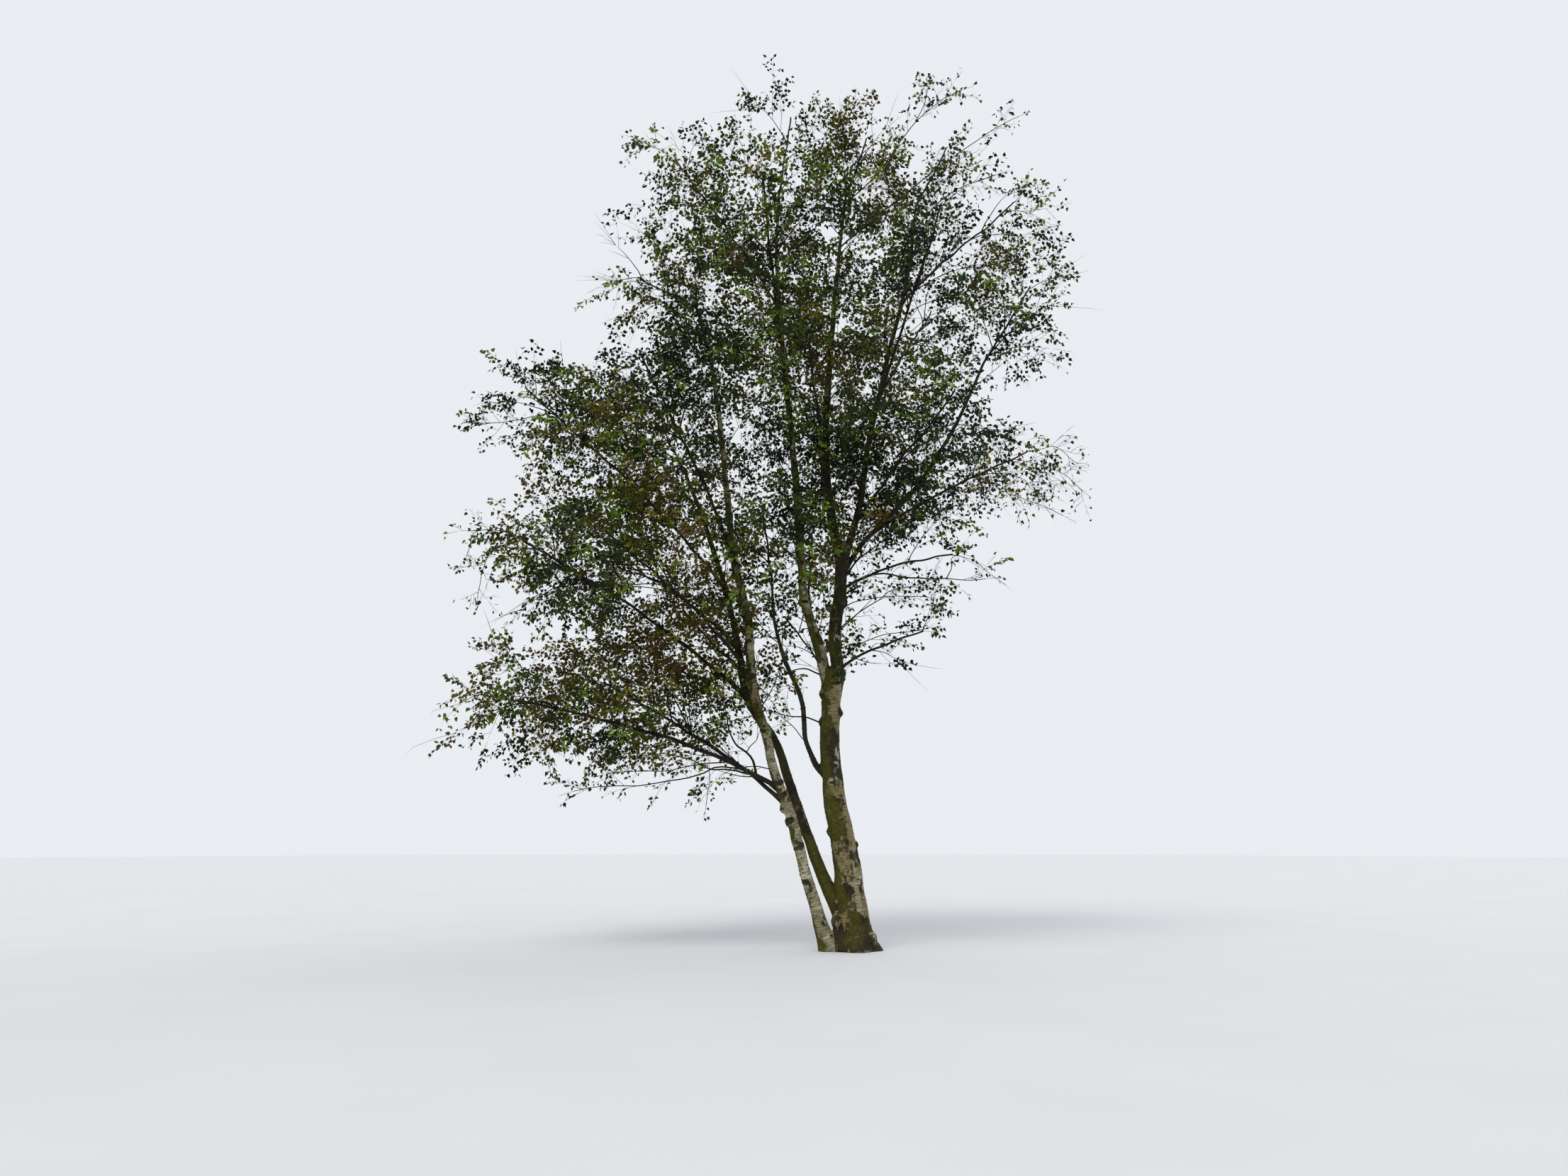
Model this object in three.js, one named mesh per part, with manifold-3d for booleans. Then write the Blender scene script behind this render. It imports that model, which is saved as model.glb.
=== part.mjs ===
// A multi-stemmed birch tree, 12 m tall, in millimetres, +Z up, with the origin on the flat cut under its
// trunk. From one root come a trunk that forks into two leaders, a pale leaning stem and a darker mossy
// one. Boughs grow from them to the masses of foliage. Each mass keeps to a convex cell of its own: an
// ellipsoid, cut off by a plane towards each neighbour. Inside it one stem carries side twigs, and each
// twig carries sprays of leaves, all placed by one seeded rule. A blade here stands for a whole spray of
// leaves.
import * as THREE from "three";
import { mergeVertices } from "three/addons/utils/BufferGeometryUtils.js";
import Module from "manifold-3d";

const wasm = await Module();
wasm.setup();

// Clearance between two solids, how far in from its cell's wall a mass keeps, and how far in its bough
// ends.
const CLEAR = 0.4;
const CELL_MARGIN = 3;
const ENTRY_DEPTH = 70;

// The feet spread into the root flare, the trunk's in buttresses. The trunk widens in x where its leaders
// part.
const FLARE = 0.62;
const FLARE_HEIGHT = 260;
const STEM_FLARE = 0.37;
const STEM_FLARE_HEIGHT = 160;
const BUTTRESSES = 5;
const BUTTRESS_DEPTH = 0.16;
const FORK_START = 2950;
const FORK_HEIGHT = 3420;
const FORK_SPREAD = 0.32;

// Stems: how many sides each has, the stem it grows on, and its stations [x, y, z, radius] from foot to
// tip.
const STEMS = {
  trunk: {
    sides: 12,
    stations: [
      [35, 0, 0, 205], [10, 0, 300, 185], [-20, 0, 900, 166], [-150, 0, 1640, 142],
      [-225, 0, 2300, 126], [-212, 0, 2950, 118], [-180, 0, FORK_HEIGHT, 120],
    ],
  },
  right_leader: {
    sides: 8,
    on: "trunk",
    stations: [
      [-102, 0, FORK_HEIGHT - 150, 84], [-150, 0, 3800, 80], [-95, 0, 4350, 84], [-70, 10, 4800, 76],
      [-190, 40, 5500, 60], [-250, 90, 6500, 48], [-170, 100, 7800, 38], [-40, 100, 9200, 24],
      [60, 100, 10150, 16],
    ],
  },
  left_leader: {
    sides: 8,
    on: "trunk",
    stations: [
      [-262, 0, FORK_HEIGHT - 150, 78], [-390, -30, 3800, 71], [-540, -50, 4300, 58],
      [-610, -50, 5300, 50], [-700, -50, 6500, 42], [-830, -90, 7800, 34], [-905, -100, 9000, 25],
      [-880, -100, 10050, 16],
    ],
  },
  left_stem: {
    sides: 8,
    on: "trunk",
    stations: [
      [-265, -80, 0, 100], [-395, -95, 420, 78], [-560, -105, 980, 68], [-740, -120, 1640, 68],
      [-930, -140, 2130, 58], [-1030, -160, 2600, 56], [-1195, -170, 3200, 64], [-1270, -170, 4040, 56],
      [-1480, -200, 5000, 43], [-1610, -200, 6300, 36], [-1760, -220, 7400, 29], [-1960, -220, 8250, 20],
    ],
  },
  mid_stem: {
    sides: 8,
    on: "trunk",
    stations: [
      [-40, 40, 230, 100], [-370, 85, 980, 76], [-600, 100, 1600, 64], [-780, 110, 2130, 58],
      [-960, 125, 2600, 53],
      [-1250, 150, 3000, 50], [-1390, 210, 3700, 45], [-1600, 300, 4600, 38], [-1930, 420, 5600, 29],
      [-2150, 620, 6200, 22],
    ],
  },
  side_stem: {
    sides: 6,
    on: "trunk",
    stations: [
      [-215, -5, 1990, 46], [-400, -25, 2210, 38], [-535, -40, 2560, 32], [-590, -60, 3030, 30],
      [-780, -90, 3480, 27], [-925, -140, 4040, 23], [-965, -330, 4520, 19],
    ],
  },
  right_limb_up: {
    sides: 7,
    on: "right_leader",
    stations: [
      [-75, 5, 4560, 52], [40, -50, 5060, 54], [180, -100, 5550, 50], [310, -150, 6400, 43],
      [560, -200, 7500, 36],
      [880, -190, 8800, 26], [1010, -150, 9850, 16],
    ],
  },
  right_limb_out: {
    sides: 7,
    on: "right_leader",
    stations: [
      [-65, 10, 4620, 42], [250, 110, 5130, 40], [920, 200, 5850, 34], [1500, 230, 6750, 28],
      [1900, 160, 7620, 21],
    ],
  },
};

// Masses of foliage: the stem each grows on, the height at which it leaves it (or that stem's tip), the
// centre and the half-sizes of its ellipsoid, its bough's radius at the root, and how far its far end
// lifts (+) or droops (-).
const TIP = Infinity;
const MASSES = {
  low_left_tip: ["left_stem", 1900, [-4200, -250, 2990], [960, 1000, 850], 40, -0.1],
  low_left: ["left_stem", 1700, [-2790, 350, 3070], [1210, 1350, 970], 38, 0],
  inner_left: ["mid_stem", 3350, [-1920, 250, 3970], [850, 900, 890], 26, 0.2],
  between: ["trunk", 3200, [-670, 350, 3970], [730, 600, 680], 17, 0.1],
  mid_left_tip: ["mid_stem", 3050, [-3980, 0, 4950], [870, 1100, 900], 34, 0],
  mid_left_front: ["left_stem", 3300, [-2730, -1200, 4700], [1030, 1050, 1030], 32, 0],
  mid_left_back: ["mid_stem", 3700, [-2780, 1350, 4940], [1160, 1050, 1030], 30, 0],
  left_tip: ["mid_stem", 4500, [-4010, -150, 6910], [890, 1100, 880], 30, 0.1],
  left_front: ["left_stem", 4850, [-2410, -1350, 6760], [970, 1050, 1020], 30, 0.1],
  left_back: ["mid_stem", TIP, [-2480, 1450, 6940], [1120, 1100, 1180], 22, 0.1],
  left_high: ["left_stem", TIP, [-2490, -250, 8500], [810, 1150, 990], 20, 0.3],
  low_front: ["side_stem", TIP, [-1030, -1150, 4890], [850, 900, 950], 19, 0.1],
  low_back: ["left_leader", 3950, [-410, 1400, 5370], [1100, 1000, 1030], 30, 0.1],
  mid_front: ["right_leader", 5150, [-500, -1500, 7180], [1100, 1450, 1160], 32, 0.2],
  mid_back: ["right_leader", 5300, [-340, 1600, 7330], [1200, 1500, 1300], 32, 0.2],
  right_low: ["trunk", 3330, [700, -300, 3770], [680, 800, 450], 26, -0.15],
  right_shelf: ["right_leader", 4420, [1080, 150, 4910], [910, 1000, 520], 26, -0.2],
  right_mid_tip: ["right_limb_out", 5230, [2170, 0, 6220], [680, 1000, 710], 26, -0.1],
  right_mid_front: ["right_limb_up", 5250, [1060, -1250, 6340], [950, 1150, 990], 30, 0.1],
  right_mid_back: ["right_limb_out", 5350, [1450, 1350, 6690], [1110, 1150, 1060], 28, 0.1],
  right_tip: ["right_limb_out", TIP, [2440, 100, 8460], [840, 1150, 1010], 21, 0.2],
  right_high_front: ["right_limb_up", 6700, [1040, -1450, 8590], [1020, 1100, 1170], 28, 0.3],
  right_high_back: ["right_limb_up", 6900, [1320, 1500, 8820], [1150, 1100, 1290], 28, 0.3],
  high_front: ["left_leader", 7000, [-1030, -1600, 8930], [1100, 1050, 1150], 28, 0.3],
  high_back: ["left_leader", 7200, [-820, 1700, 9210], [1210, 1150, 1320], 28, 0.3],
  top_left: ["left_leader", 8300, [-2170, -200, 10230], [730, 1000, 970], 22, 0.4],
  top: ["left_leader", TIP, [-750, -100, 10800], [740, 950, 1200], 16, 1],
  top_middle: ["right_leader", TIP, [290, 100, 10680], [640, 950, 1060], 16, 1],
  top_right: ["right_limb_up", TIP, [1380, 0, 10500], [720, 950, 1000], 16, 0.8],
  top_far_right: ["right_limb_up", 8350, [2270, 100, 9810], [700, 950, 880], 22, 0.5],
};

// A bough shorter than this is left to its mass. A mass's stem runs this share of the way from the middle
// of the cell to its far wall, and thins to this radius.
const BOUGH_SHORTEST = 250;
const FAR_SHARE = 0.4;
const STEM_END_RADIUS = 13;

// Side twigs: how many a mass has, the two steps that spread their directions evenly, how far they go
// towards the cell's wall, how they leave the mass's stem, how far they arch, and their radii at the root
// (as a share of the stem's) and at the tip.
const SIDE_TWIGS = 3;
const SPREAD_UP = 0.7548777;
const SPREAD_ROUND = 0.5698403;
const TWIG_SHARE = 0.42;
const FIRST_TWIG = 0.06;
const LAST_TWIG = 0.95;
const TWIG_STATIONS = 12;
const TWIG_ANGLE = 0.85;
const TWIG_ARCH = 0.16;
const TWIG_GIRTH = 0.65;
const TWIG_TIP_RADIUS = 7;

// Sprays: where along its twig each sits, its angle to it, its greatest and least length, its width and
// where that is, its thickness (each a share of the length), how deep it is rooted, and how often it may
// be turned to fit.
const SPRAY_STATIONS = [1, 0.7, 0.4];
const SPRAY_ANGLE = 0.85;
const SPRAY_LENGTH = 1000;
const SPRAY_SHORTEST = 320;
const SPRAY_WIDTH = 0.9;
const SPRAY_WIDEST = 0.42;
const SPRAY_THICKNESS = 0.02;
const SPRAY_ROOT = 3;
const SPRAY_ATTEMPTS = 6;

const BARK_ROUGHNESS = 0.85;
const LEAF_ROUGHNESS = 0.7;
const PALE_BARK = 0xc9c6b8;
const MOSSY_BARK = 0x5d5f3a;
const DARK_BARK = 0x4a4538;
const BARK = { trunk: PALE_BARK, left_stem: PALE_BARK, left_leader: PALE_BARK, mid_stem: MOSSY_BARK };
const LEAVES = [0x3c4a26, 0x4a5a2c, 0x5c5f2b, 0x394a2e];

const UP = new THREE.Vector3(0, 0, 1);
const SIDEWAYS = new THREE.Vector3(1, 0, 0);

const vec = ([x, y, z]) => new THREE.Vector3(x, y, z);
const touches = (one, other) => !one.intersect(other).isEmpty();

// A number from 0 to 1 that depends only on its keys, so the same mass, twig and spray always grow alike.
function draw(...keys) {
  let h = 0x9e3779b9;
  for (const key of keys) {
    h = Math.imul(h ^ key, 0x85ebca6b);
    h ^= h >>> 13;
    h = Math.imul(h, 0xc2b2ae35);
    h ^= h >>> 16;
  }
  return (h >>> 0) / 4294967296;
}

// A direction square to another, turned by an angle about it.
function squareTo(direction, angle) {
  const across = new THREE.Vector3().crossVectors(direction, Math.abs(direction.z) < 0.9 ? UP : SIDEWAYS);
  return across.normalize().applyAxisAngle(direction, angle);
}

function indexed(positions, index) {
  return new THREE.BufferGeometry()
    .setAttribute("position", new THREE.Float32BufferAttribute(positions, 3))
    .setIndex(index);
}

// A closed tube along a curve. radiusAt gives its radius, shapeAt, if any, swells each point of a ring,
// and grow widens the tube all round and past its far end.
function tube({ curve, from = 0, to = 1, steps, sides, radiusAt, shapeAt, grow = 0, flatFoot = false }) {
  const positions = [];
  const index = [];
  let normal = SIDEWAYS;
  for (let i = 0; i <= steps; i++) {
    const t = from + ((to - from) * i) / steps;
    const tangent = curve.getTangent(t);
    const centre = curve.getPoint(t);
    if (i === steps) centre.addScaledVector(tangent, grow);
    normal = normal.clone().addScaledVector(tangent, -normal.dot(tangent)).normalize();
    const side = new THREE.Vector3().crossVectors(tangent, normal);
    for (let k = 0; k < sides; k++) {
      const angle = (2 * Math.PI * k) / sides;
      const radius = radiusAt(t) * (shapeAt ? shapeAt(centre, angle) : 1) + grow;
      const p = centre.clone();
      p.addScaledVector(normal, radius * Math.cos(angle)).addScaledVector(side, radius * Math.sin(angle));
      if (flatFoot && i === 0) p.addScaledVector(tangent, -p.z / tangent.z).setZ(0);
      positions.push(...p);
    }
  }
  for (let i = 0; i < steps; i++) {
    for (let k = 0; k < sides; k++) {
      const a = i * sides + k;
      const b = i * sides + ((k + 1) % sides);
      index.push(a, b, b + sides, a, b + sides, a + sides);
    }
  }
  const last = steps * sides;
  for (let k = 1; k < sides - 1; k++) {
    index.push(0, k + 1, k);
    index.push(last, last + k, last + k + 1);
  }
  return indexed(positions, index);
}

// Geometry to a solid that can be joined and cut, and back.
function solid(geometry) {
  const merged = mergeVertices(geometry, 1e-3);
  const vertProperties = merged.attributes.position.array;
  return new wasm.Manifold(
    new wasm.Mesh({ numProp: 3, vertProperties, triVerts: new Uint32Array(merged.index.array) }),
  );
}

function geometryOf(manifold) {
  const mesh = manifold.getMesh();
  const geometry = new THREE.BufferGeometry()
    .setAttribute("position", new THREE.BufferAttribute(mesh.vertProperties, 3))
    .setIndex(new THREE.BufferAttribute(mesh.triVerts, 1));
  geometry.computeVertexNormals();
  return geometry;
}

// The one body that counts. Scraps and sealed hollows fall away, but a lost twig is an error.
function largest(manifold, name) {
  const bodies = manifold.decompose().sort((a, b) => b.volume() - a.volume());
  const lost = bodies.slice(1).reduce((sum, body) => sum + Math.abs(body.volume()), 0);
  if (lost > 0.03 * bodies[0].volume()) throw new Error(`${name} loses ${lost.toFixed(0)} mm3 in scraps`);
  return bodies[0];
}

// A stem: a curve through its stations, with a radius that runs evenly from one station to the next.
function stemOf({ stations }) {
  const curve = new THREE.CatmullRomCurve3(stations.map(vec), false, "centripetal");
  const spans = stations.length - 1;
  const radiusAt = (t) => {
    const i = Math.min(Math.floor(t * spans), spans - 1);
    return THREE.MathUtils.lerp(stations[i][3], stations[i + 1][3], t * spans - i);
  };
  return { curve, radiusAt, steps: spans * 2 };
}

function trunkShape(centre, angle) {
  const spread = Math.exp(-centre.z / FLARE_HEIGHT);
  const foot = 1 + spread * (FLARE + BUTTRESS_DEPTH * Math.cos(BUTTRESSES * angle + 0.7));
  const rise = THREE.MathUtils.smoothstep(centre.z, FORK_START, FORK_HEIGHT);
  return foot * (1 + rise * FORK_SPREAD * Math.cos(angle) ** 2);
}

function stemFootShape(centre) {
  return 1 + STEM_FLARE * Math.exp(-centre.z / STEM_FLARE_HEIGHT);
}

// How far along its curve a stem passes a height.
function shareAtHeight(stem, z) {
  if (z === TIP) return 1;
  let low = 0;
  let high = 1;
  for (let i = 0; i < 40; i++) {
    const middle = (low + high) / 2;
    if (stem.curve.getPoint(middle).z < z) low = middle;
    else high = middle;
  }
  return (low + high) / 2;
}

// A mass's cell: its ellipsoid, and the planes that part it from the neighbours it would overlap.
function cellOf(name) {
  const [, , at, size] = MASSES[name];
  const centre = vec(at);
  const extent = (halfSizes, d) => Math.hypot(halfSizes[0] * d.x, halfSizes[1] * d.y, halfSizes[2] * d.z);
  const planes = [];
  for (const [other, [, , otherAt, otherSize]] of Object.entries(MASSES)) {
    if (other === name) continue;
    const away = vec(otherAt).sub(centre);
    const distance = away.length();
    away.normalize();
    const own = extent(size, away);
    const theirs = extent(otherSize, away);
    if (own + theirs > distance) planes.push({ away, reach: (distance * own) / (own + theirs) });
  }
  const inside = (p, margin = CELL_MARGIN) => {
    const d = p.clone().sub(centre);
    const [x, y, z] = size.map((half) => half - margin);
    if (Math.hypot(d.x / x, d.y / y, d.z / z) > 1) return false;
    return planes.every((wall) => d.dot(wall.away) < wall.reach - margin);
  };
  // How far the cell's wall is from a point inside it, along a direction.
  const reachFrom = (p, direction) => {
    const from = p.clone().sub(centre);
    const o = from.clone().divide(vec(size));
    const d = direction.clone().divide(vec(size));
    const a = d.lengthSq();
    const b = o.dot(d);
    let reach = (-b + Math.sqrt(Math.max(0, b * b - a * (o.lengthSq() - 1)))) / a;
    for (const wall of planes) {
      const along = direction.dot(wall.away);
      if (along > 1e-6) reach = Math.min(reach, (wall.reach - from.dot(wall.away)) / along);
    }
    return Math.max(0, reach);
  };
  return { centre, inside, reachFrom };
}

// The line that a mass's bough and stem follow. It leaves its parent stem rising, arches over to the
// middle of the cell and runs on towards the far wall.
function guideOf(name, stem, cell) {
  const [, from, , , , lift] = MASSES[name];
  const share = shareAtHeight(stem, from);
  const root = stem.curve.getPoint(share);
  const span = cell.centre.clone().sub(root);
  const heading = span.clone().normalize();
  const along = stem.curve.getTangent(share).multiplyScalar(from === TIP ? 1 : 0.5);
  const parting = along.add(heading).normalize();
  const last = heading.clone().addScaledVector(UP, lift).normalize();
  const end = cell.centre.clone().addScaledVector(last, FAR_SHARE * cell.reachFrom(cell.centre, last));
  const shoulder = root.clone().addScaledVector(parting, 0.4 * span.length());
  return new THREE.CubicBezierCurve3(root, shoulder, cell.centre.clone(), end);
}

// How far along the guide it is in its cell for good.
function entryOf(guide, cell) {
  const checks = 400;
  for (let i = checks; i >= 0; i--) {
    if (!cell.inside(guide.getPoint(i / checks), ENTRY_DEPTH)) return (i + 1) / checks;
  }
  return 0;
}

// Side twig i of a mass. Its end lies in the i-th of a sequence of directions that spread evenly round the
// middle of the cell, and it leaves the mass's stem where it can do so nearest to the usual angle.
function twigOf(seed, i, guide, entry, cell) {
  const height = 1 - 2 * ((0.5 + i * SPREAD_UP + draw(seed)) % 1);
  const turn = 2 * Math.PI * ((0.5 + i * SPREAD_ROUND + draw(seed, 1)) % 1);
  const flat = Math.sqrt(1 - height * height);
  const outward = new THREE.Vector3(flat * Math.cos(turn), flat * Math.sin(turn), height);
  const share = TWIG_SHARE * (0.9 + 0.2 * draw(seed, i, 2));
  const end = cell.centre.clone().addScaledVector(outward, share * cell.reachFrom(cell.centre, outward));
  let best = { miss: Infinity };
  for (let k = 0; k < TWIG_STATIONS; k++) {
    const station = THREE.MathUtils.lerp(FIRST_TWIG, LAST_TWIG, k / (TWIG_STATIONS - 1));
    const t = THREE.MathUtils.lerp(entry, 1, station);
    const start = guide.getPoint(t);
    const span = end.clone().sub(start);
    const miss = Math.abs(span.angleTo(guide.getTangent(t)) - TWIG_ANGLE);
    if (miss < best.miss) best = { miss, t, start, span };
  }
  const { t, start, span } = best;
  const arch = start.clone().addScaledVector(span, 0.5).addScaledVector(UP, span.length() * TWIG_ARCH);
  if (!cell.inside(arch)) arch.copy(start).lerp(end, 0.5);
  const [, middle] = new THREE.QuadraticBezierCurve3(start, arch, end).getPoints(2);
  const twig = new THREE.CurvePath();
  twig.add(new THREE.LineCurve3(start, middle));
  twig.add(new THREE.LineCurve3(middle, end));
  return { twig, stemShare: t };
}

// A spray of leaves on a twig: a thin closed blade of 8 faces, or null where the cell leaves no room for
// it.
function sprayOf(keys, station, twig, cell) {
  const start = twig.getPoint(station);
  const along = twig.getTangent(station);
  const angle = station < 1 ? SPRAY_ANGLE : 0;
  const aside = squareTo(along, 2 * Math.PI * draw(...keys, 5));
  const heading = along.multiplyScalar(Math.cos(angle)).addScaledVector(aside, Math.sin(angle));
  const room = Math.min(SPRAY_LENGTH, 0.94 * cell.reachFrom(start, heading));
  const length = room * (0.85 + 0.15 * draw(...keys, 6));
  if (length < SPRAY_SHORTEST) return null;
  const across = squareTo(heading, Math.PI * draw(...keys, 7));
  const face = new THREE.Vector3().crossVectors(across, heading);
  const at = (share, offset = 0, direction = across) =>
    start.clone().addScaledVector(heading, length * share).addScaledVector(direction, length * offset);
  const corners = [
    at(-SPRAY_ROOT / length),
    at(SPRAY_WIDEST, SPRAY_WIDTH / 2),
    at(1),
    at(SPRAY_WIDEST, -SPRAY_WIDTH / 2),
    at(SPRAY_WIDEST, SPRAY_THICKNESS / 2, face),
    at(SPRAY_WIDEST, -SPRAY_THICKNESS / 2, face),
  ];
  if (!corners.slice(1).every((p) => cell.inside(p))) return null;
  const index = [];
  for (let k = 0; k < 4; k++) index.push(k, (k + 1) % 4, 4, (k + 1) % 4, k, 5);
  return indexed(corners.flatMap((p) => [...p]), index);
}

const tree = new THREE.Group();
tree.name = "birch_tree";

function add(name, manifold, centre, color, roughness) {
  const geometry = geometryOf(manifold).translate(-centre.x, -centre.y, -centre.z);
  const material = new THREE.MeshStandardMaterial({ color, roughness, metalness: 0 });
  const mesh = new THREE.Mesh(geometry, material);
  mesh.name = name;
  mesh.position.copy(centre);
  tree.add(mesh);
}

// All limbs so far, swelled by the clearance. Each new limb is cut by them, and foliage keeps off them.
let limbsClear = null;
function addLimb(name, options, color) {
  const whole = solid(tube(options));
  const limb = limbsClear ? largest(whole.subtract(limbsClear), name) : whole;
  const clear = solid(tube({ ...options, grow: CLEAR }));
  limbsClear = limbsClear ? limbsClear.add(clear) : clear;
  add(name, limb, options.curve.getPoint(0.5), color, BARK_ROUGHNESS);
}

const stems = {};
for (const [name, entry] of Object.entries(STEMS)) {
  stems[name] = stemOf(entry);
  const flatFoot = entry.stations[0][2] === 0;
  const shapeAt = name === "trunk" ? trunkShape : flatFoot ? stemFootShape : undefined;
  addLimb(name, { ...stems[name], sides: entry.sides, shapeAt, flatFoot }, BARK[name] ?? DARK_BARK);
}

// All boughs come before any twig, so that every twig can keep off all of them.
const grown = Object.entries(MASSES).map(([name, [on, from, , , root]], number) => {
  const cell = cellOf(name);
  const guide = guideOf(name, stems[on], cell);
  const entry = entryOf(guide, cell);
  const radiusAt = (t) => root + (STEM_END_RADIUS - root) * t ** 0.8;
  const bare = guide.getPoint(entry).distanceTo(guide.getPoint(0));
  const hasBough = from !== TIP && bare > BOUGH_SHORTEST;
  const bough = { curve: guide, to: entry, steps: 4, sides: 5, radiusAt };
  if (hasBough) addLimb(`bough_${name}`, bough, DARK_BARK);
  return { name, seed: number + 1, cell, guide, entry, hasBough, radiusAt, bough };
});

// What a mass keeps off: all limbs, and the stems of other masses where they run up to their own cells.
function keepOffOf(name) {
  const leads = grown.filter((other) => other.name !== name && !other.hasBough && other.entry > 0);
  const clear = leads.map(({ bough }) => solid(tube({ ...bough, grow: CELL_MARGIN })));
  return wasm.Manifold.union([limbsClear, ...clear]);
}

for (const { name, seed, cell, guide, entry, hasBough, radiusAt } of grown) {
  const keepOff = keepOffOf(name);
  const stem = solid(tube({ curve: guide, from: hasBough ? entry : 0, steps: 5, sides: 4, radiusAt }));
  const pieces = [stem];
  const addSpray = (i, j, twig, twigSolid) => {
    for (let attempt = 0; attempt < SPRAY_ATTEMPTS; attempt++) {
      const blade = sprayOf([seed, i, j, attempt], SPRAY_STATIONS[j], twig, cell);
      if (!blade) continue;
      const spray = solid(blade);
      if (touches(spray, keepOff)) continue;
      if (pieces.some((piece) => piece !== twigSolid && touches(spray, piece))) continue;
      pieces.push(spray);
      return;
    }
  };
  for (let i = 0; i < SIDE_TWIGS; i++) {
    const { twig, stemShare } = twigOf(seed, i, guide, entry, cell);
    const rootRadius = TWIG_GIRTH * radiusAt(stemShare);
    const twigRadius = (t) => THREE.MathUtils.lerp(rootRadius, TWIG_TIP_RADIUS, t);
    const twigSolid = solid(tube({ curve: twig, steps: 2, sides: 3, radiusAt: twigRadius }));
    if (touches(twigSolid, keepOff)) continue;
    pieces.push(twigSolid);
    SPRAY_STATIONS.forEach((_, j) => addSpray(i, j, twig, twigSolid));
  }
  addSpray(SIDE_TWIGS, 0, guide, stem);
  const whole = largest(wasm.Manifold.union(pieces).subtract(limbsClear), name);
  add(`foliage_${name}`, whole, cell.centre, LEAVES[seed % LEAVES.length], LEAF_ROUGHNESS);
}

export default tree;
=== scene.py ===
# A multi-stemmed birch tree, 12 m tall, in early autumn leaf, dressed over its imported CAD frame. The stems, the
# boughs and the lines that the masses of foliage follow are those of the part's source, in metres. Here each mass
# is carried on by the same rule to branchlets, twigs and single leaves.
import functools
import math

import bmesh
import bpy
import numpy as np
from mathutils import Matrix, Vector, kdtree, noise


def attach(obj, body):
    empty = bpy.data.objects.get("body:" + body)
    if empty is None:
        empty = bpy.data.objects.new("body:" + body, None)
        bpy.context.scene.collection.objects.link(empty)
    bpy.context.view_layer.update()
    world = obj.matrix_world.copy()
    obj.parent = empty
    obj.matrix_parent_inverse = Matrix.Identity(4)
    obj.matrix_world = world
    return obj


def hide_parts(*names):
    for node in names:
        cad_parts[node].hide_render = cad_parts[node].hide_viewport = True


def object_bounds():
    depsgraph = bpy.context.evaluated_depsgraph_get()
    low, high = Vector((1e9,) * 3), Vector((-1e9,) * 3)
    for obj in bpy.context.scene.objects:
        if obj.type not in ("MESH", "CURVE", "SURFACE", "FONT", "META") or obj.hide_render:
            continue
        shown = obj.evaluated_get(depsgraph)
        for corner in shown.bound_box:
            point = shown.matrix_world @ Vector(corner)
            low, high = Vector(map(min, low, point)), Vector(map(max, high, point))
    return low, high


bl_info = {
    "name": "Birch tree",
    "version": (1, 0, 0),
    "blender": (4, 5, 0),
    "location": "3D View > Sidebar > Birch",
    "description": "Builds the bark, the boughs, the twigs and the leaves of a birch tree over its CAD frame",
    "category": "Object",
}

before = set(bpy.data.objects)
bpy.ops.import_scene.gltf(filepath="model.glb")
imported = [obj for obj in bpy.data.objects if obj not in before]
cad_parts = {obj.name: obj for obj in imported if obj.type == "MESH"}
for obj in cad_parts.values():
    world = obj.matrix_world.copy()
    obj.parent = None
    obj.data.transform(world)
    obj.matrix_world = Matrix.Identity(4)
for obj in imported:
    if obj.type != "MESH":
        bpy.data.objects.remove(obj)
CAD_BOX = [list(corner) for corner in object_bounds()]
BODY = "root"

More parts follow.
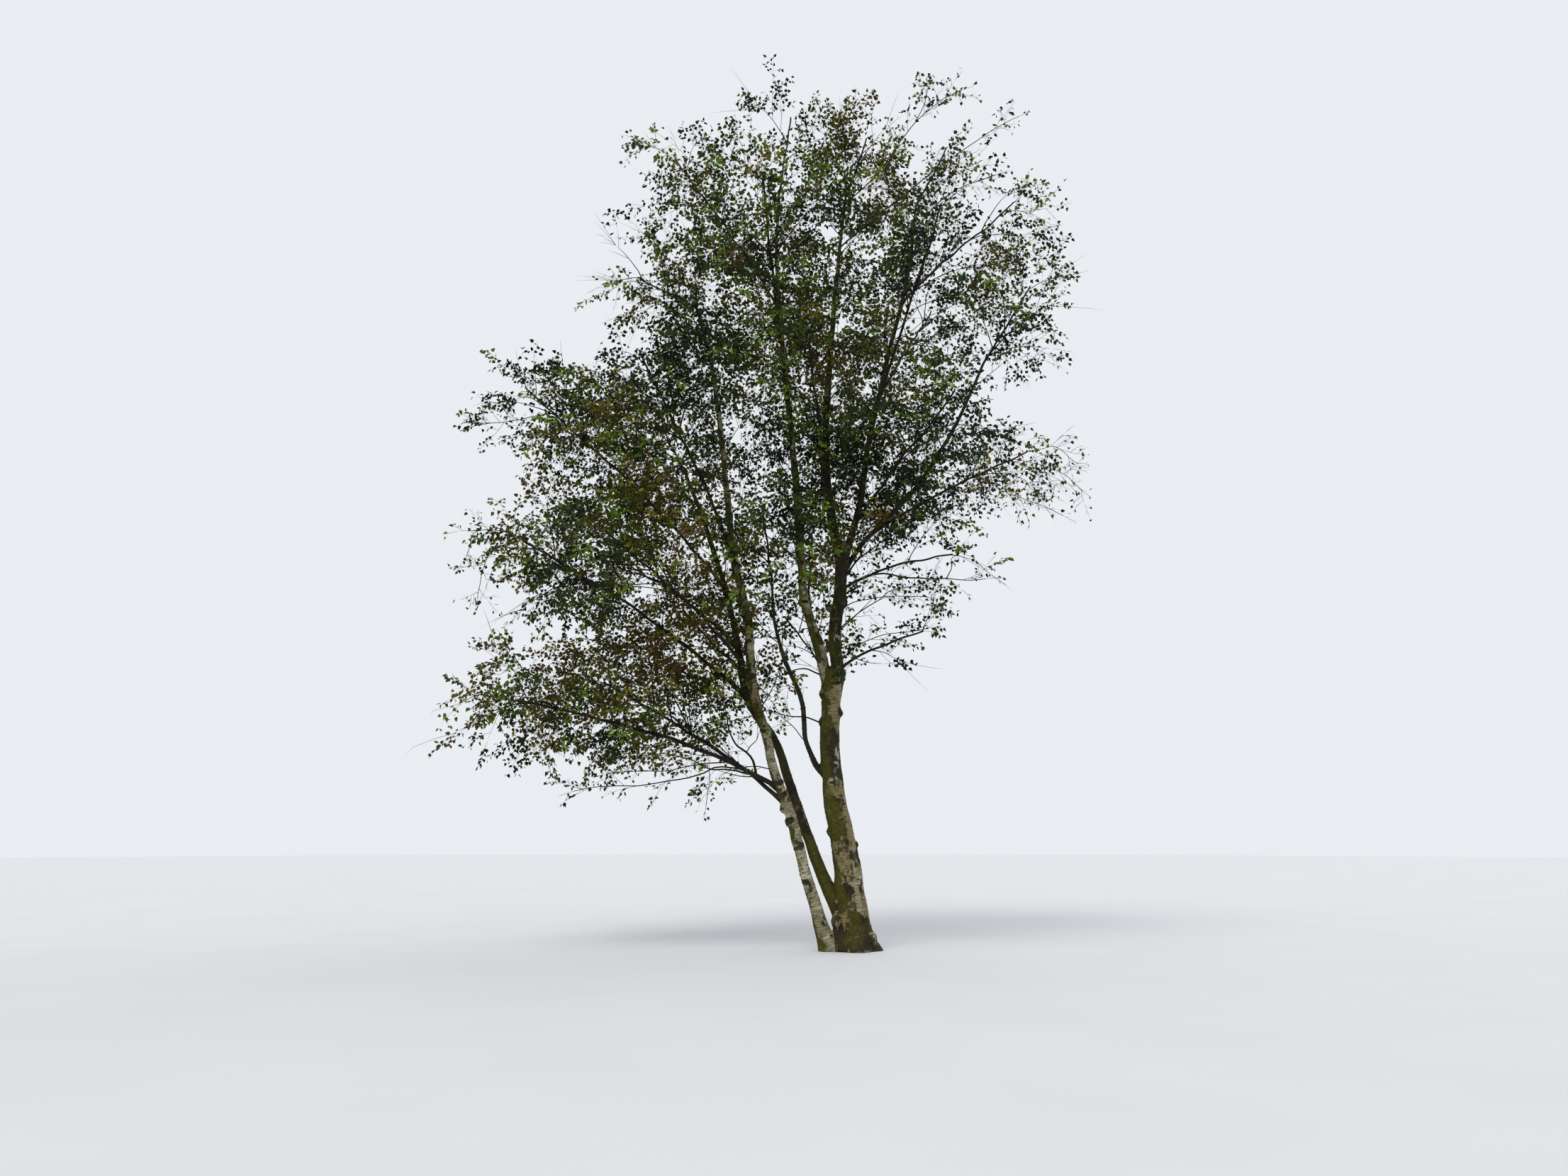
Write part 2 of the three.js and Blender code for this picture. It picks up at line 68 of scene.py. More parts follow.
# Stems, as in the part's source, but for slimmer limbs: stations (x, y, z, radius) from foot to tip, in metres.
FORK_HEIGHT = 3.42
STEMS = {
    "trunk": [
        (0.035, 0, 0, 0.205), (0.01, 0, 0.3, 0.185), (-0.02, 0, 0.9, 0.166), (-0.15, 0, 1.64, 0.142),
        (-0.225, 0, 2.3, 0.126), (-0.212, 0, 2.95, 0.118), (-0.18, 0, FORK_HEIGHT, 0.12),
    ],
    "right_leader": [
        (-0.102, 0, FORK_HEIGHT - 0.15, 0.084), (-0.15, 0, 3.8, 0.08), (-0.095, 0, 4.35, 0.084),
        (-0.07, 0.01, 4.8, 0.076), (-0.19, 0.04, 5.5, 0.06), (-0.25, 0.09, 6.5, 0.048), (-0.17, 0.1, 7.8, 0.038),
        (-0.04, 0.1, 9.2, 0.024), (0.06, 0.1, 10.15, 0.016),
    ],
    "left_leader": [
        (-0.262, 0, FORK_HEIGHT - 0.15, 0.078), (-0.39, -0.03, 3.8, 0.071), (-0.54, -0.05, 4.3, 0.058),
        (-0.61, -0.05, 5.3, 0.05), (-0.7, -0.05, 6.5, 0.042), (-0.83, -0.09, 7.8, 0.034), (-0.905, -0.1, 9.0, 0.025),
        (-0.88, -0.1, 10.05, 0.016),
    ],
    "left_stem": [
        (-0.265, -0.08, 0, 0.1), (-0.395, -0.095, 0.42, 0.078), (-0.56, -0.105, 0.98, 0.068),
        (-0.74, -0.12, 1.64, 0.068), (-0.93, -0.14, 2.13, 0.058), (-1.03, -0.16, 2.6, 0.056),
        (-1.195, -0.17, 3.2, 0.064), (-1.27, -0.17, 4.04, 0.056), (-1.48, -0.2, 5.0, 0.043), (-1.61, -0.2, 6.3, 0.036),
        (-1.76, -0.22, 7.4, 0.029), (-1.96, -0.22, 8.25, 0.02),
    ],
    "mid_stem": [
        (-0.04, 0.04, 0.23, 0.1), (-0.37, 0.085, 0.98, 0.076), (-0.6, 0.1, 1.6, 0.064), (-0.78, 0.11, 2.13, 0.058),
        (-0.96, 0.125, 2.6, 0.053), (-1.25, 0.15, 3.0, 0.05), (-1.39, 0.21, 3.7, 0.045), (-1.6, 0.3, 4.6, 0.038),
        (-1.93, 0.42, 5.6, 0.029), (-2.15, 0.62, 6.2, 0.022),
    ],
    "side_stem": [
        (-0.215, -0.005, 1.99, 0.046), (-0.4, -0.025, 2.21, 0.038), (-0.535, -0.04, 2.56, 0.032),
        (-0.59, -0.06, 3.03, 0.03), (-0.78, -0.09, 3.48, 0.027), (-0.925, -0.14, 4.04, 0.023),
        (-0.965, -0.33, 4.52, 0.019),
    ],
    "right_limb_up": [
        (-0.075, 0.005, 4.56, 0.048), (0.04, -0.05, 5.06, 0.046), (0.18, -0.1, 5.55, 0.042),
        (0.31, -0.15, 6.4, 0.036), (0.56, -0.2, 7.5, 0.031), (0.88, -0.19, 8.8, 0.023), (1.01, -0.15, 9.85, 0.014),
    ],
    "right_limb_out": [
        (-0.065, 0.01, 4.62, 0.036), (0.25, 0.11, 5.13, 0.032), (0.92, 0.2, 5.85, 0.028), (1.5, 0.23, 6.75, 0.024),
        (1.9, 0.16, 7.62, 0.018),
    ],
}

# The feet's flare and the trunk's widening under its fork, as in the part's source.
FLARE = 0.62
FLARE_HEIGHT = 0.26
STEM_FLARE = 0.37
STEM_FLARE_HEIGHT = 0.16
BUTTRESSES = 5
BUTTRESS_DEPTH = 0.16
BUTTRESS_TURN = 0.7
FORK_START = 2.95
FORK_SPREAD = 0.32
# Bark that starts below this height is pressed flat to the ground.
GROUND_EDGE = 0.004

# Masses of foliage, as in the part's source: stem, the height at which the bough leaves it (or the stem's tip),
# centre, half-sizes, the bough's radius and the lift of its far end. Then, for the leaves: how full the mass is,
# how much its twigs droop, the share of its outer sprays that have dropped their leaves, and how far autumn has
# come, from -1 to 1.
TIP = math.inf
MASSES = {
    "low_left_tip": ("left_stem", 1.9, (-4.2, -0.25, 2.99), (0.96, 1.0, 0.85), 0.04, -0.1, 0.63, 0.25, 0.15, 0.22),
    "low_left": ("left_stem", 1.7, (-2.79, 0.35, 3.07), (1.21, 1.35, 0.97), 0.038, 0, 0.68, 0.35, 0.08, 0.28),
    "inner_left": ("mid_stem", 3.35, (-1.92, 0.25, 3.97), (0.85, 0.9, 0.89), 0.026, 0.2, 0.2, 0.3, 0.1, 0.25),
    "between": ("trunk", 3.2, (-0.67, 0.35, 3.97), (0.73, 0.6, 0.68), 0.017, 0.1, 0.05, 0.2, 0.2, -0.1),
    "mid_left_tip": ("mid_stem", 3.05, (-3.98, 0, 4.95), (0.87, 1.1, 0.9), 0.034, 0, 0.55, 0.25, 0.12, 0.32),
    "mid_left_front": ("left_stem", 3.3, (-2.73, -1.2, 4.7), (1.03, 1.05, 1.03), 0.032, 0, 0.72, 0.25, 0.06, 0.25),
    "mid_left_back": ("mid_stem", 3.7, (-2.78, 1.35, 4.94), (1.16, 1.05, 1.03), 0.03, 0, 0.41, 0.3, 0.06, 0.12),
    "left_tip": ("mid_stem", 4.5, (-4.01, -0.15, 6.91), (0.89, 1.1, 0.88), 0.03, 0.1, 0.96, 0.2, 0.15, -0.1),
    "left_front": ("left_stem", 4.85, (-2.41, -1.35, 6.76), (0.97, 1.05, 1.02), 0.03, 0.1, 0.52, 0.2, 0.08, 0.05),
    "left_back": ("mid_stem", TIP, (-2.48, 1.45, 6.94), (1.12, 1.1, 1.18), 0.022, 0.1, 0.49, 0.2, 0.08, -0.05),
    "left_high": ("left_stem", TIP, (-2.49, -0.25, 8.5), (0.81, 1.15, 0.99), 0.02, 0.3, 0.72, 0.15, 0.5, 0.05),
    "low_front": ("side_stem", TIP, (-1.03, -1.15, 4.89), (0.85, 0.9, 0.95), 0.019, 0.1, 0.36, 0.2, 0.1, -0.15),
    "low_back": ("left_leader", 3.95, (-0.41, 1.4, 5.37), (1.1, 1.0, 1.03), 0.03, 0.1, 0.13, 0.2, 0.08, -0.08),
    "mid_front": ("right_leader", 5.15, (-0.5, -1.5, 7.18), (1.1, 1.45, 1.16), 0.032, 0.2, 0.33, 0.15, 0.06, 0.12),
    "mid_back": ("right_leader", 5.3, (-0.34, 1.6, 7.33), (1.2, 1.5, 1.3), 0.032, 0.2, 0.37, 0.2, 0.06, 0),
    "right_low": ("trunk", 3.33, (0.7, -0.3, 3.77), (0.68, 0.8, 0.45), 0.026, -0.15, 0.64, -0.15, 0.4, -0.1),
    "right_shelf": ("right_leader", 4.42, (1.08, 0.15, 4.91), (0.91, 1.0, 0.52), 0.026, -0.2, 0.28, -0.1, 0.4, -0.1),
    "right_mid_tip": ("right_limb_out", 5.23, (2.17, 0, 6.22), (0.68, 1.0, 0.71), 0.026, -0.1, 0.41, 0.25, 0.7, -0.2),
    "right_mid_front": (
        "right_limb_up", 5.25, (1.06, -1.25, 6.34), (0.95, 1.15, 0.99), 0.03, 0.1, 0.25, 0.2, 0.1, -0.22,
    ),
    "right_mid_back": (
        "right_limb_out", 5.35, (1.45, 1.35, 6.69), (1.11, 1.15, 1.06), 0.028, 0.1, 0.24, 0.15, 0.25, -0.2,
    ),
    "right_tip": ("right_limb_out", TIP, (2.44, 0.1, 8.46), (0.84, 1.15, 1.01), 0.021, 0.2, 0.44, 0.15, 0.3, -0.2),
    "right_high_front": ("right_limb_up", 6.7, (1.04, -1.45, 8.59), (1.02, 1.1, 1.17), 0.028, 0.3, 0.37, 0.1, 0.15, 0),
    "right_high_back": ("right_limb_up", 6.9, (1.32, 1.5, 8.82), (1.15, 1.1, 1.29), 0.028, 0.3, 0.29, 0.1, 0.1, -0.1),
    "high_front": ("left_leader", 7.0, (-1.03, -1.6, 8.93), (1.1, 1.05, 1.15), 0.028, 0.3, 0.55, 0.1, 0.08, 0.18),
    "high_back": ("left_leader", 7.2, (-0.82, 1.7, 9.21), (1.21, 1.15, 1.32), 0.028, 0.3, 0.36, 0.1, 0.08, 0.15),
    "top_left": ("left_leader", 8.3, (-2.17, -0.2, 10.23), (0.73, 1.0, 0.97), 0.022, 0.4, 0.38, 0.1, 0.25, -0.1),
    "top": ("left_leader", TIP, (-0.75, -0.1, 10.8), (0.74, 0.95, 1.2), 0.016, 1, 0.2, 0.1, 0.3, 0.1),
    "top_middle": ("right_leader", TIP, (0.29, 0.1, 10.68), (0.64, 0.95, 1.06), 0.016, 1, 0.98, 0.1, 0.35, 0.35),
    "top_right": ("right_limb_up", TIP, (1.38, 0, 10.5), (0.72, 0.95, 1.0), 0.016, 0.8, 0.07, 0.1, 0.75, 0.2),
    "top_far_right": ("right_limb_up", 8.35, (2.27, 0.1, 9.81), (0.7, 0.95, 0.88), 0.022, 0.5, 0.42, 0.1, 0.4, 0),
}

# The growth rule's numbers, as in the part's source: metres, radians and shares.
CELL_MARGIN = 0.003
ENTRY_DEPTH = 0.07
GUIDE_CHECKS = 400
GUIDE_LEAD = 0.4
SIDE_PARTING = 0.5
FAR_SHARE = 0.4
STEM_END_RADIUS = 0.013
SPREAD_UP = 0.7548777
SPREAD_ROUND = 0.5698403
FIRST_TWIG = 0.06
LAST_TWIG = 0.95
TWIG_STATIONS = 12
TWIG_ANGLE = 0.85
TWIG_ARCH = 0.16
TWIG_GIRTH = 0.65

# How the rule is carried on here, in metres, degrees and shares. The points that each line runs through:
STEM_POINTS, BOUGH_POINTS, LONE_POINTS, BRANCHLET_POINTS, TWIG_POINTS = 200, 26, 22, 7, 4
# Bends: how many to the metre, and how far a line strays in them. A branchlet's are a share of its length.
STEM_BENDS, STEM_FINE_BENDS, FINE_SHARE, STEM_STRAY, LONE_STRAY = 2.6, 6.1, 0.5, 0.015, 0.02
# A stem's bends come in over the first sixth of it, so that its foot stays where it is.
BENDS_COME_IN = 6
BOUGH_BENDS, BOUGH_STRAY = 3.3, 0.035
BRANCHLET_BENDS, BRANCHLET_STRAY = 3.1, 0.035
# Boughs: slimmer than the source's, with a collar at the stem, and with side branches where much of one is bare.
BOUGH_GIRTH, BOUGH_TAPER, COLLAR, COLLAR_LENGTH = 0.8, 0.7, 0.7, 0.06
BARE_BOUGH, BOUGH_SIDE_START, BOUGH_SIDE_GIRTH, BOUGH_SIDE_REACH = 0.15, 0.12, 0.6, 0.55
# Side branches: the last one's place, their angles, lengths and girth, how far from a mass they still grow, counted
# in its half-sizes, and how bare they are at least.
SIDE_END, SIDE_ANGLES, SIDE_LENGTHS, SIDE_SHORTENING, SIDE_RISE = 0.97, (36, 62), (0.55, 1.3), 0.3, 0.18
SIDE_GIRTH, SIDE_LIMIT, SIDE_BARE = 0.45, 1.35, 0.3
# Branchlets: how far they go to their cell's outer wall, how many are left out where the crown is open, and their
# taper, sag and radii.
BRANCHLET_SHARE, BRANCHLET_THINNING, TAPER, BRANCHLET_SAG = (0.56, 0.9), 0.5, 0.8, 0.12
BRANCHLET_RADIUS, RADIUS_PER_METRE, BRANCHLET_END = 0.0055, 0.0065, 0.003
# Lone branches: how thickly twigs stand on them, the twigs' size and habit, and the radius of their ends.
LONE_THICKNESS, LONE_TWIG_SIZE, LONE_DROOP, LONE_AUTUMN, LONE_END = 0.9, 0.6, 0.1, 0.1, 0.004
# Twigs leave their branchlet a golden angle apart, shorter and flatter towards its end.
GOLDEN_ANGLE = 2.399963
TWIG_GAP, TWIG_SPAN, TWIG_ANGLES, TWIG_ANGLE_SPREAD = 0.165, (0.22, 0.97), (62, 36), (0.85, 1.15)
TWIG_LENGTH, TWIG_SHORTENING, TWIG_LENGTHS, SHORTEST_TWIG, FREE_TWIG = 0.62, (1.0, 0.62), (0.7, 1.15), 0.12, 0.35
TWIG_LIFT, TWIG_DROOP, TWIG_RADII = 0.35, 0.7, (0.0036, 0.0018)
# A twig's end turns off: how much of it goes ahead, aside and up.
END_AHEAD, END_ASIDE, END_UP = 0.9, 0.25, 0.1
# Bare shoots that run on past the leaves: how many at most, how far aside, how long, and where the crown ends.
WHIPS, WHIP_ASIDE, WHIP_LENGTHS, WHIP_SAG, WHIP_RADII = 4, 0.55, (0.25, 0.75), 0.6, (0.003, 0.0012)
CROWN_EDGE, WHIP_CHANCE, BARE_WHIP_CHANCE = 0.95, 0.1, 1.2
# Sprays: their places on a twig, their lengths and sag, and how surely the bare ones at the crown's rim drop leaves.
SPRAY_STATIONS, SPRAY_LENGTHS, SPRAY_SAG = (1.0, 0.72, 0.42), (0.24, 0.4), (0.6, 1.4)
SPRAY_THINNING, RIM_FALL = 0.6, 1.6
# Sprays below a twig's end: how much of their heading goes ahead, aside and up.
SPRAY_AHEAD, SPRAY_ASIDE, SPRAY_UP = 0.55, 0.75, 0.15
SPRAY_TEMPLATES, SIDE_SHOOTS = 24, 3
AXIS_RADII, SHOOT_RADII = (0.0022, 0.0017, 0.0008), (0.0016, 0.0006)
# A spray's shape, for an axis of length 1: its wave, and its side shoots' places, angles, lift, lengths and sag.
AXIS_WAVE, SHOOT_START, SHOOT_GAP, SHOOT_JITTER = 0.06, 0.2, 0.22, 0.05
SHOOT_ANGLES, SHOOT_LIFT, SHOOT_LENGTHS, SHOOT_SHORTENING, SHOOT_SAG = (38, 62), (-0.15, 0.4), (0.34, 0.52), 0.5, 0.08
# How far a spray rolls about its axis, and how far it hangs, at least and with its own sag.
ROLL, HANG, HANG_BY_SAG = 1.2, 0.35, 1.1
# A spray's roll is drawn from the end digits of the number that picks its template.
END_DIGITS = 7919

# The eye from which the crown was fitted. Open and thick places in the crown as seen from there: x and z, half-width
# and half-height in metres, and how thickly twigs stand there beside the rest of the crown. Drifts of thicker and
# thinner growth lie over that: how strong they are, and how many to the metre. Twigs are dealt out as for the thickest
# places, and then thinned out elsewhere.
EYE = np.array([-0.8048, -14.3, 1.31])
THICKEST = 1.8
DRIFTS = ((0.55, 1.3), (0.5, 3.1))
PLACES = np.array([
    (2, 10.2, 0.45, 0.6, 0.05), (1.7, 9.2, 0.25, 0.35, 0.19), (1.05, 8.3, 0.4, 0.5, 0.35),
    (-2.8, 8, 0.4, 0.35, 0.38), (-3.9, 7.8, 0.6, 0.2, 0.05), (-4.55, 6.6, 0.3, 0.3, 0.12),
    (-4.5, 3.95, 0.5, 0.3, 0.05), (-4.7, 3.6, 0.2, 0.2, 0.05), (-2.1, 2.2, 1, 0.25, 0.05), (-1.7, 1.8, 0.3, 0.3, 3),
    (-4.9, 2.5, 0.38, 0.33, 0.22), (0.9, 4.55, 0.9, 0.3, 0.05), (0.35, 4.85, 0.25, 0.3, 0.26),
    (0.9, 3.4, 0.8, 0.42, 0.05), (1.8, 4.9, 0.3, 0.3, 0.22), (2.1, 6.9, 0.4, 0.3, 0.06), (3.05, 8, 0.25, 0.6, 0.12),
    (-1.6, 6.35, 0.7, 0.4, 0.85), (-3.2, 9.2, 0.35, 0.45, 0.05), (-1.1, 10.5, 0.35, 0.65, 0.65),
    (-0.9, 3.8, 0.5, 0.3, 0.45), (-4.75, 4.8, 0.35, 0.25, 0.21), (-2.1, 11.2, 0.7, 0.3, 0.26),
    (-0.1, 12, 0.35, 0.3, 0.05), (0.95, 10.7, 0.25, 0.4, 0.3), (-2.6, 4.6, 0.3, 0.3, 0.13),
    (-1.9, 4.7, 0.3, 0.3, 0.25), (-3.3, 4.85, 0.2, 0.3, 0.22), (1.2, 6, 0.3, 0.3, 1.03), (-2.75, 4.1, 0.3, 0.2, 0.45),
    (-1.85, 8.9, 0.4, 0.4, 3), (-2.1, 8.1, 0.35, 0.4, 1.68), (-1.5, 7.5, 0.3, 0.4, 3), (-3.85, 6.5, 0.4, 0.35, 2.82),
    (-2.7, 6.7, 0.3, 0.5, 2.12), (-3.3, 3.5, 0.35, 0.35, 3), (-1.4, 5.4, 0.4, 0.4, 3), (-0.5, 10.3, 0.4, 0.5, 0.63),
    (0.4, 9.2, 0.35, 0.6, 3), (2.1, 9.1, 0.35, 0.4, 3), (2.15, 5.9, 0.35, 0.4, 3), (-1.65, 3.3, 0.2, 0.4, 3),
    (-3.1, 5.7, 0.45, 0.35, 3), (-4.3, 5.3, 0.3, 0.3, 3), (2.4, 7.9, 0.3, 0.2, 3), (2.8, 10, 0.3, 0.3, 2.2),
    (1.9, 7.3, 0.3, 0.3, 0.18), (1, 5.3, 0.45, 0.25, 3), (-1.35, 11.9, 0.4, 0.45, 0.05),
    (-3.2, 7.8, 0.3, 0.3, 0.05), (-2.2, 10.2, 0.3, 0.3, 0.7), (-1.4, 6.9, 0.3, 0.3, 0.32),
    (-4.6, 7.4, 0.3, 0.3, 0.18), (-0.8, 4.5, 0.5, 0.3, 0.2), (-0.1, 10.1, 0.3, 0.3, 2.43), (-4.2, 2.8, 0.3, 0.3, 3),
    (-2.6, 5.1, 0.3, 0.3, 2.52), (-3.8, 7.5, 0.3, 0.3, 0.26), (-3.8, 5, 0.3, 0.3, 2.15), (-4.7, 5.4, 0.3, 0.3, 0.58),
    (-2, 7.6, 0.3, 0.3, 1.92), (-3.7, 4, 0.3, 0.3, 2.4), (-2.7, 10.8, 0.45, 0.4, 1.8), (-0.8, 11.3, 0.3, 0.3, 2),
])

# Branches with a course of their own, which show where the crown is open, under and beside it and at its top right:
# what each grows from, its radius, how bare it is, and its stations.
LONE_BRANCHES = {
    "low_riser": ("bough_low_left", 0.019, 0.8, [
        (-1.22, -0.15, 2.08), (-1.25, -0.21, 2.3), (-1.42, -0.27, 2.45), (-1.5, -0.33, 2.63), (-1.52, -0.39, 2.82),
        (-1.57, -0.45, 3.04),
    ]),
    "low_sprig": ("low_riser", 0.008, 0.97, [
        (-1.24, -0.25, 2.31), (-1.21, -0.3, 2.39), (-1.13, -0.35, 2.49), (-1.1, -0.4, 2.58),
    ]),
    "low_long": ("bough_low_left_tip", 0.011, 0.93, [
        (-1.31, -0.15, 2.06), (-1.64, -0.19, 2.1), (-1.81, -0.24, 2.04), (-2.07, -0.28, 1.99), (-2.32, -0.32, 1.97),
        (-2.58, -0.37, 1.94), (-2.88, -0.41, 1.93), (-3.15, -0.46, 1.91), (-3.34, -0.5, 1.87),
    ]),
    "low_level": ("bough_low_left_tip", 0.009, 0.9, [
        (-1.42, -0.2, 2.17), (-1.77, -0.12, 2.17), (-2.01, -0.04, 2.17), (-2.28, 0.04, 2.14), (-2.73, 0.12, 2.14),
        (-3.05, 0.2, 2.11),
    ]),
    "low_arc": ("bough_low_left_tip", 0.012, 0.87, [
        (-1.24, -0.1, 2.04), (-1.58, -0.01, 2.13), (-1.75, 0.07, 2.15), (-1.97, 0.16, 2.27), (-2.19, 0.24, 2.33),
        (-2.39, 0.33, 2.37), (-2.8, 0.41, 2.33), (-3.1, 0.5, 2.35),
    ]),
    "low_inner": ("bough_low_left", 0.01, 0.85, [
        (-1.39, 0, 2.21), (-1.5, 0.1, 2.35), (-1.76, 0.2, 2.58), (-1.9, 0.3, 2.73),
    ]),
    "low_twig": ("left_stem", 0.008, 0.97, [
        (-0.96, -0.2, 2.12), (-1.14, -0.25, 2.17), (-1.29, -0.3, 2.16), (-1.41, -0.35, 2.13),
    ]),
    "hanger": ("low_long", 0.004, 0.8, [
        (-1.7, -0.3, 2.12), (-1.7, -0.31, 2.02), (-1.71, -0.32, 1.91), (-1.75, -0.35, 1.7),
    ]),
    "between_low": ("trunk", 0.012, 0.88, [
        (-0.34, -0.1, 2.66), (-0.5, -0.14, 2.75), (-0.65, -0.17, 2.79), (-0.79, -0.21, 2.8), (-1.03, -0.28, 2.87),
        (-1.24, -0.31, 2.79), (-1.5, -0.35, 2.73),
    ]),
    "between_high": ("left_leader", 0.013, 0.8, [
        (-0.38, -0.1, 3.28), (-0.47, -0.13, 3.35), (-0.59, -0.17, 3.4), (-0.72, -0.2, 3.37), (-0.86, -0.23, 3.31),
        (-1.1, -0.3, 3.24),
    ]),
    "crossing": ("side_stem", 0.007, 0.85, [
        (-0.54, -0.1, 2.47), (-0.68, -0.2, 2.65), (-0.82, -0.3, 2.78), (-0.95, -0.35, 2.98),
    ]),
    "right_low_fork": ("trunk", 0.008, 0.75, [
        (-0.12, 0, 3.42), (0.1, -0.08, 3.66), (0.35, -0.18, 3.8), (0.68, -0.28, 3.84), (1.0, -0.36, 3.88),
    ]),
    "right_thin": ("right_leader", 0.01, 0.95, [
        (-0.1, 0, 3.88), (0.07, 0.04, 4.04), (0.24, 0.08, 4.21), (0.47, 0.12, 4.37), (0.62, 0.17, 4.49),
        (0.89, 0.21, 4.54), (1.15, 0.25, 4.52),
    ]),
    "right_level": ("right_leader", 0.008, 0.94, [
        (-0.04, 0, 4.12), (0.1, -0.08, 4.25), (0.32, -0.16, 4.31), (0.55, -0.24, 4.31), (0.79, -0.32, 4.3),
        (1.03, -0.4, 4.26),
    ]),
    "right_long": ("right_leader", 0.018, 0.94, [
        (0.03, 0, 4.42), (0.17, -0.04, 4.55), (0.33, -0.09, 4.62), (0.51, -0.13, 4.63), (0.77, -0.17, 4.58),
        (1.09, -0.22, 4.56), (1.25, -0.26, 4.55), (1.48, -0.31, 4.5), (1.74, -0.35, 4.51),
    ]),
    "right_riser": ("right_long", 0.007, 0.85, [
        (1.25, -0.25, 4.56), (1.32, -0.27, 4.68), (1.33, -0.28, 4.8), (1.42, -0.3, 4.87),
    ]),
    "whip_out": ("bough_right_mid_tip", 0.004, 1.0, [
        (2.3, -0.1, 6.0), (2.6, -0.2, 6.0), (2.85, -0.25, 5.9), (3.05, -0.3, 5.7),
    ]),
    "whip_low": ("bough_right_mid_tip", 0.004, 1.0, [
        (1.9, 0.1, 5.7), (2.2, 0, 5.6), (2.5, -0.1, 5.55), (2.8, -0.2, 5.4),
    ]),
    "whip_up": ("bough_right_mid_tip", 0.004, 1.0, [
        (2.4, 0.2, 6.4), (2.8, 0.3, 6.5), (3.0, 0.35, 6.45), (3.2, 0.4, 6.3),
    ]),
    "top_reach": ("right_leader", 0.012, 0.95, [
        (-0.02, 0.1, 9.35), (0.47, 0.05, 9.79), (0.98, 0, 10.2), (1.49, -0.05, 10.62), (2.0, -0.1, 10.97),
        (2.52, -0.1, 11.29),
    ]),
    "top_spire": ("right_leader", 0.01, 0.85, [
        (0.1, 0.1, 10.05), (0.48, 0.05, 10.41), (0.8, 0.05, 10.9), (1.13, 0, 11.33), (1.39, 0, 11.58),
        (1.74, 0, 11.79),
    ]),
    "top_sprig": ("top_spire", 0.006, 0.7, [(1.1, 0, 11.3), (1.2, -0.03, 11.55), (1.27, -0.05, 11.83)]),
    "top_low_reach": ("right_limb_up", 0.01, 0.95, [
        (0.96, -0.17, 9.45), (1.3, -0.12, 9.9), (1.72, -0.1, 10.2), (2.16, -0.1, 10.38),
    ]),
    "left_whip": ("bough_mid_left_tip", 0.006, 0.9, [
        (-3.86, -0.1, 5.4), (-4.37, -0.15, 5.38), (-4.78, -0.2, 5.21), (-4.85, -0.2, 4.95),
    ]),
    "left_whip_low": ("bough_mid_left_tip", 0.005, 0.95, [
        (-4.2, -0.1, 5.1), (-4.59, -0.15, 4.91), (-4.68, -0.15, 4.65), (-4.72, -0.15, 4.31),
    ]),
    "left_arm": ("bough_left_tip", 0.006, 0.85, [(-4.17, -0.15, 6.5), (-4.6, -0.2, 6.6), (-4.85, -0.2, 6.62)]),
    "right_steep": ("right_leader", 0.017, 0.85, [
        (0.02, 0.05, 4.54), (0.12, 0.14, 4.73), (0.24, 0.23, 4.93), (0.39, 0.32, 5.09), (0.59, 0.41, 5.27),
        (0.79, 0.5, 5.41),
    ]),
}

# Thin branches along the stems: from what height, and how long, in metres.
SIDE_BRANCHES = {
    "left_stem": (2.5, 0.8), "mid_stem": (2.9, 0.75), "side_stem": (2.5, 0.6), "left_leader": (3.7, 0.85),
    "right_leader": (3.8, 0.85), "right_limb_up": (4.8, 0.85), "right_limb_out": (4.9, 0.7), "trunk": (2.5, 0.55),
}

# Leaves stand in pairs on short spurs: how far along a spray's axis and its side shoots these are. The shares of a
# full leaf that they measure, how far they hang, their stalk's share, and how far they turn from their spray.
SHOOT_STEPS = (0, 0.4, 0.7, 1)
AXIS_SPURS, SIDE_SPURS, SPUR_LEAVES = (0.3, 0.66, 1.0), (0.5, 1.0), 2
LEAF_SIZES, LEAF_HANG, LEAF_STALK, LEAF_STRAY = (0.68, 1.1), (0.15, 1.0), 0.2, 0.25
# How far the leaves of a spur point ahead and aside, and how far their direction, face and place stray from that.
LEAF_AHEAD, LEAF_ASIDE, AHEAD_STRAY, FACE_STRAY, PLACE_STRAY = 0.7, (0.5, 1.1), 0.25, 0.55, 0.015
# A bare spray keeps some leaves.
MOST_FALLEN = 0.9

# A birch leaf's outline, as shares of its length: (along, across, lift), from the base round to the tip.
LEAF_OUTLINE = np.array(
    [(0, 0, 0), (0.2, 0.37, 0.1), (0.55, 0.3, 0.09), (1, 0, -0.05), (0.55, -0.3, 0.09), (0.2, -0.37, 0.1)]
)
LEAF_FACES = np.array([(0, 3, 2), (0, 2, 1), (0, 5, 4), (0, 4, 3)])
MOST_TRIANGLES = 190000
# How far past the CAD box the leaves and twigs may reach, as a share of each of its sides.
BOX_ROOM = 0.027

# Tubes: the distance between a stem's rings, the rings' sides, how far the two stem pieces overlap and how much
# slimmer the upper one is, so that it lies within the lower, how far a stem runs on below the ground before it is cut,
# and how often its skin is smoothed, and by how much.
LOWER_STEP, UPPER_STEP, TRUNK_SIDES, STEM_SIDES, UPPER_SIDES, BOUGH_SIDES = 0.025, 0.09, 40, 24, 12, 8
SKIN_OVERLAP, UPPER_GIRTH, BELOW_GROUND, SMOOTHINGS, SMOOTHING = 0.12, 0.995, 0.06, 3, 0.5

# Seeds: a mass has its own number, and these keep the other growth's draws apart from it.
SIDE_SEED, BOUGH_SIDE_SEED, LONE_SEED, END_KEY = 101, 200, 301, 99

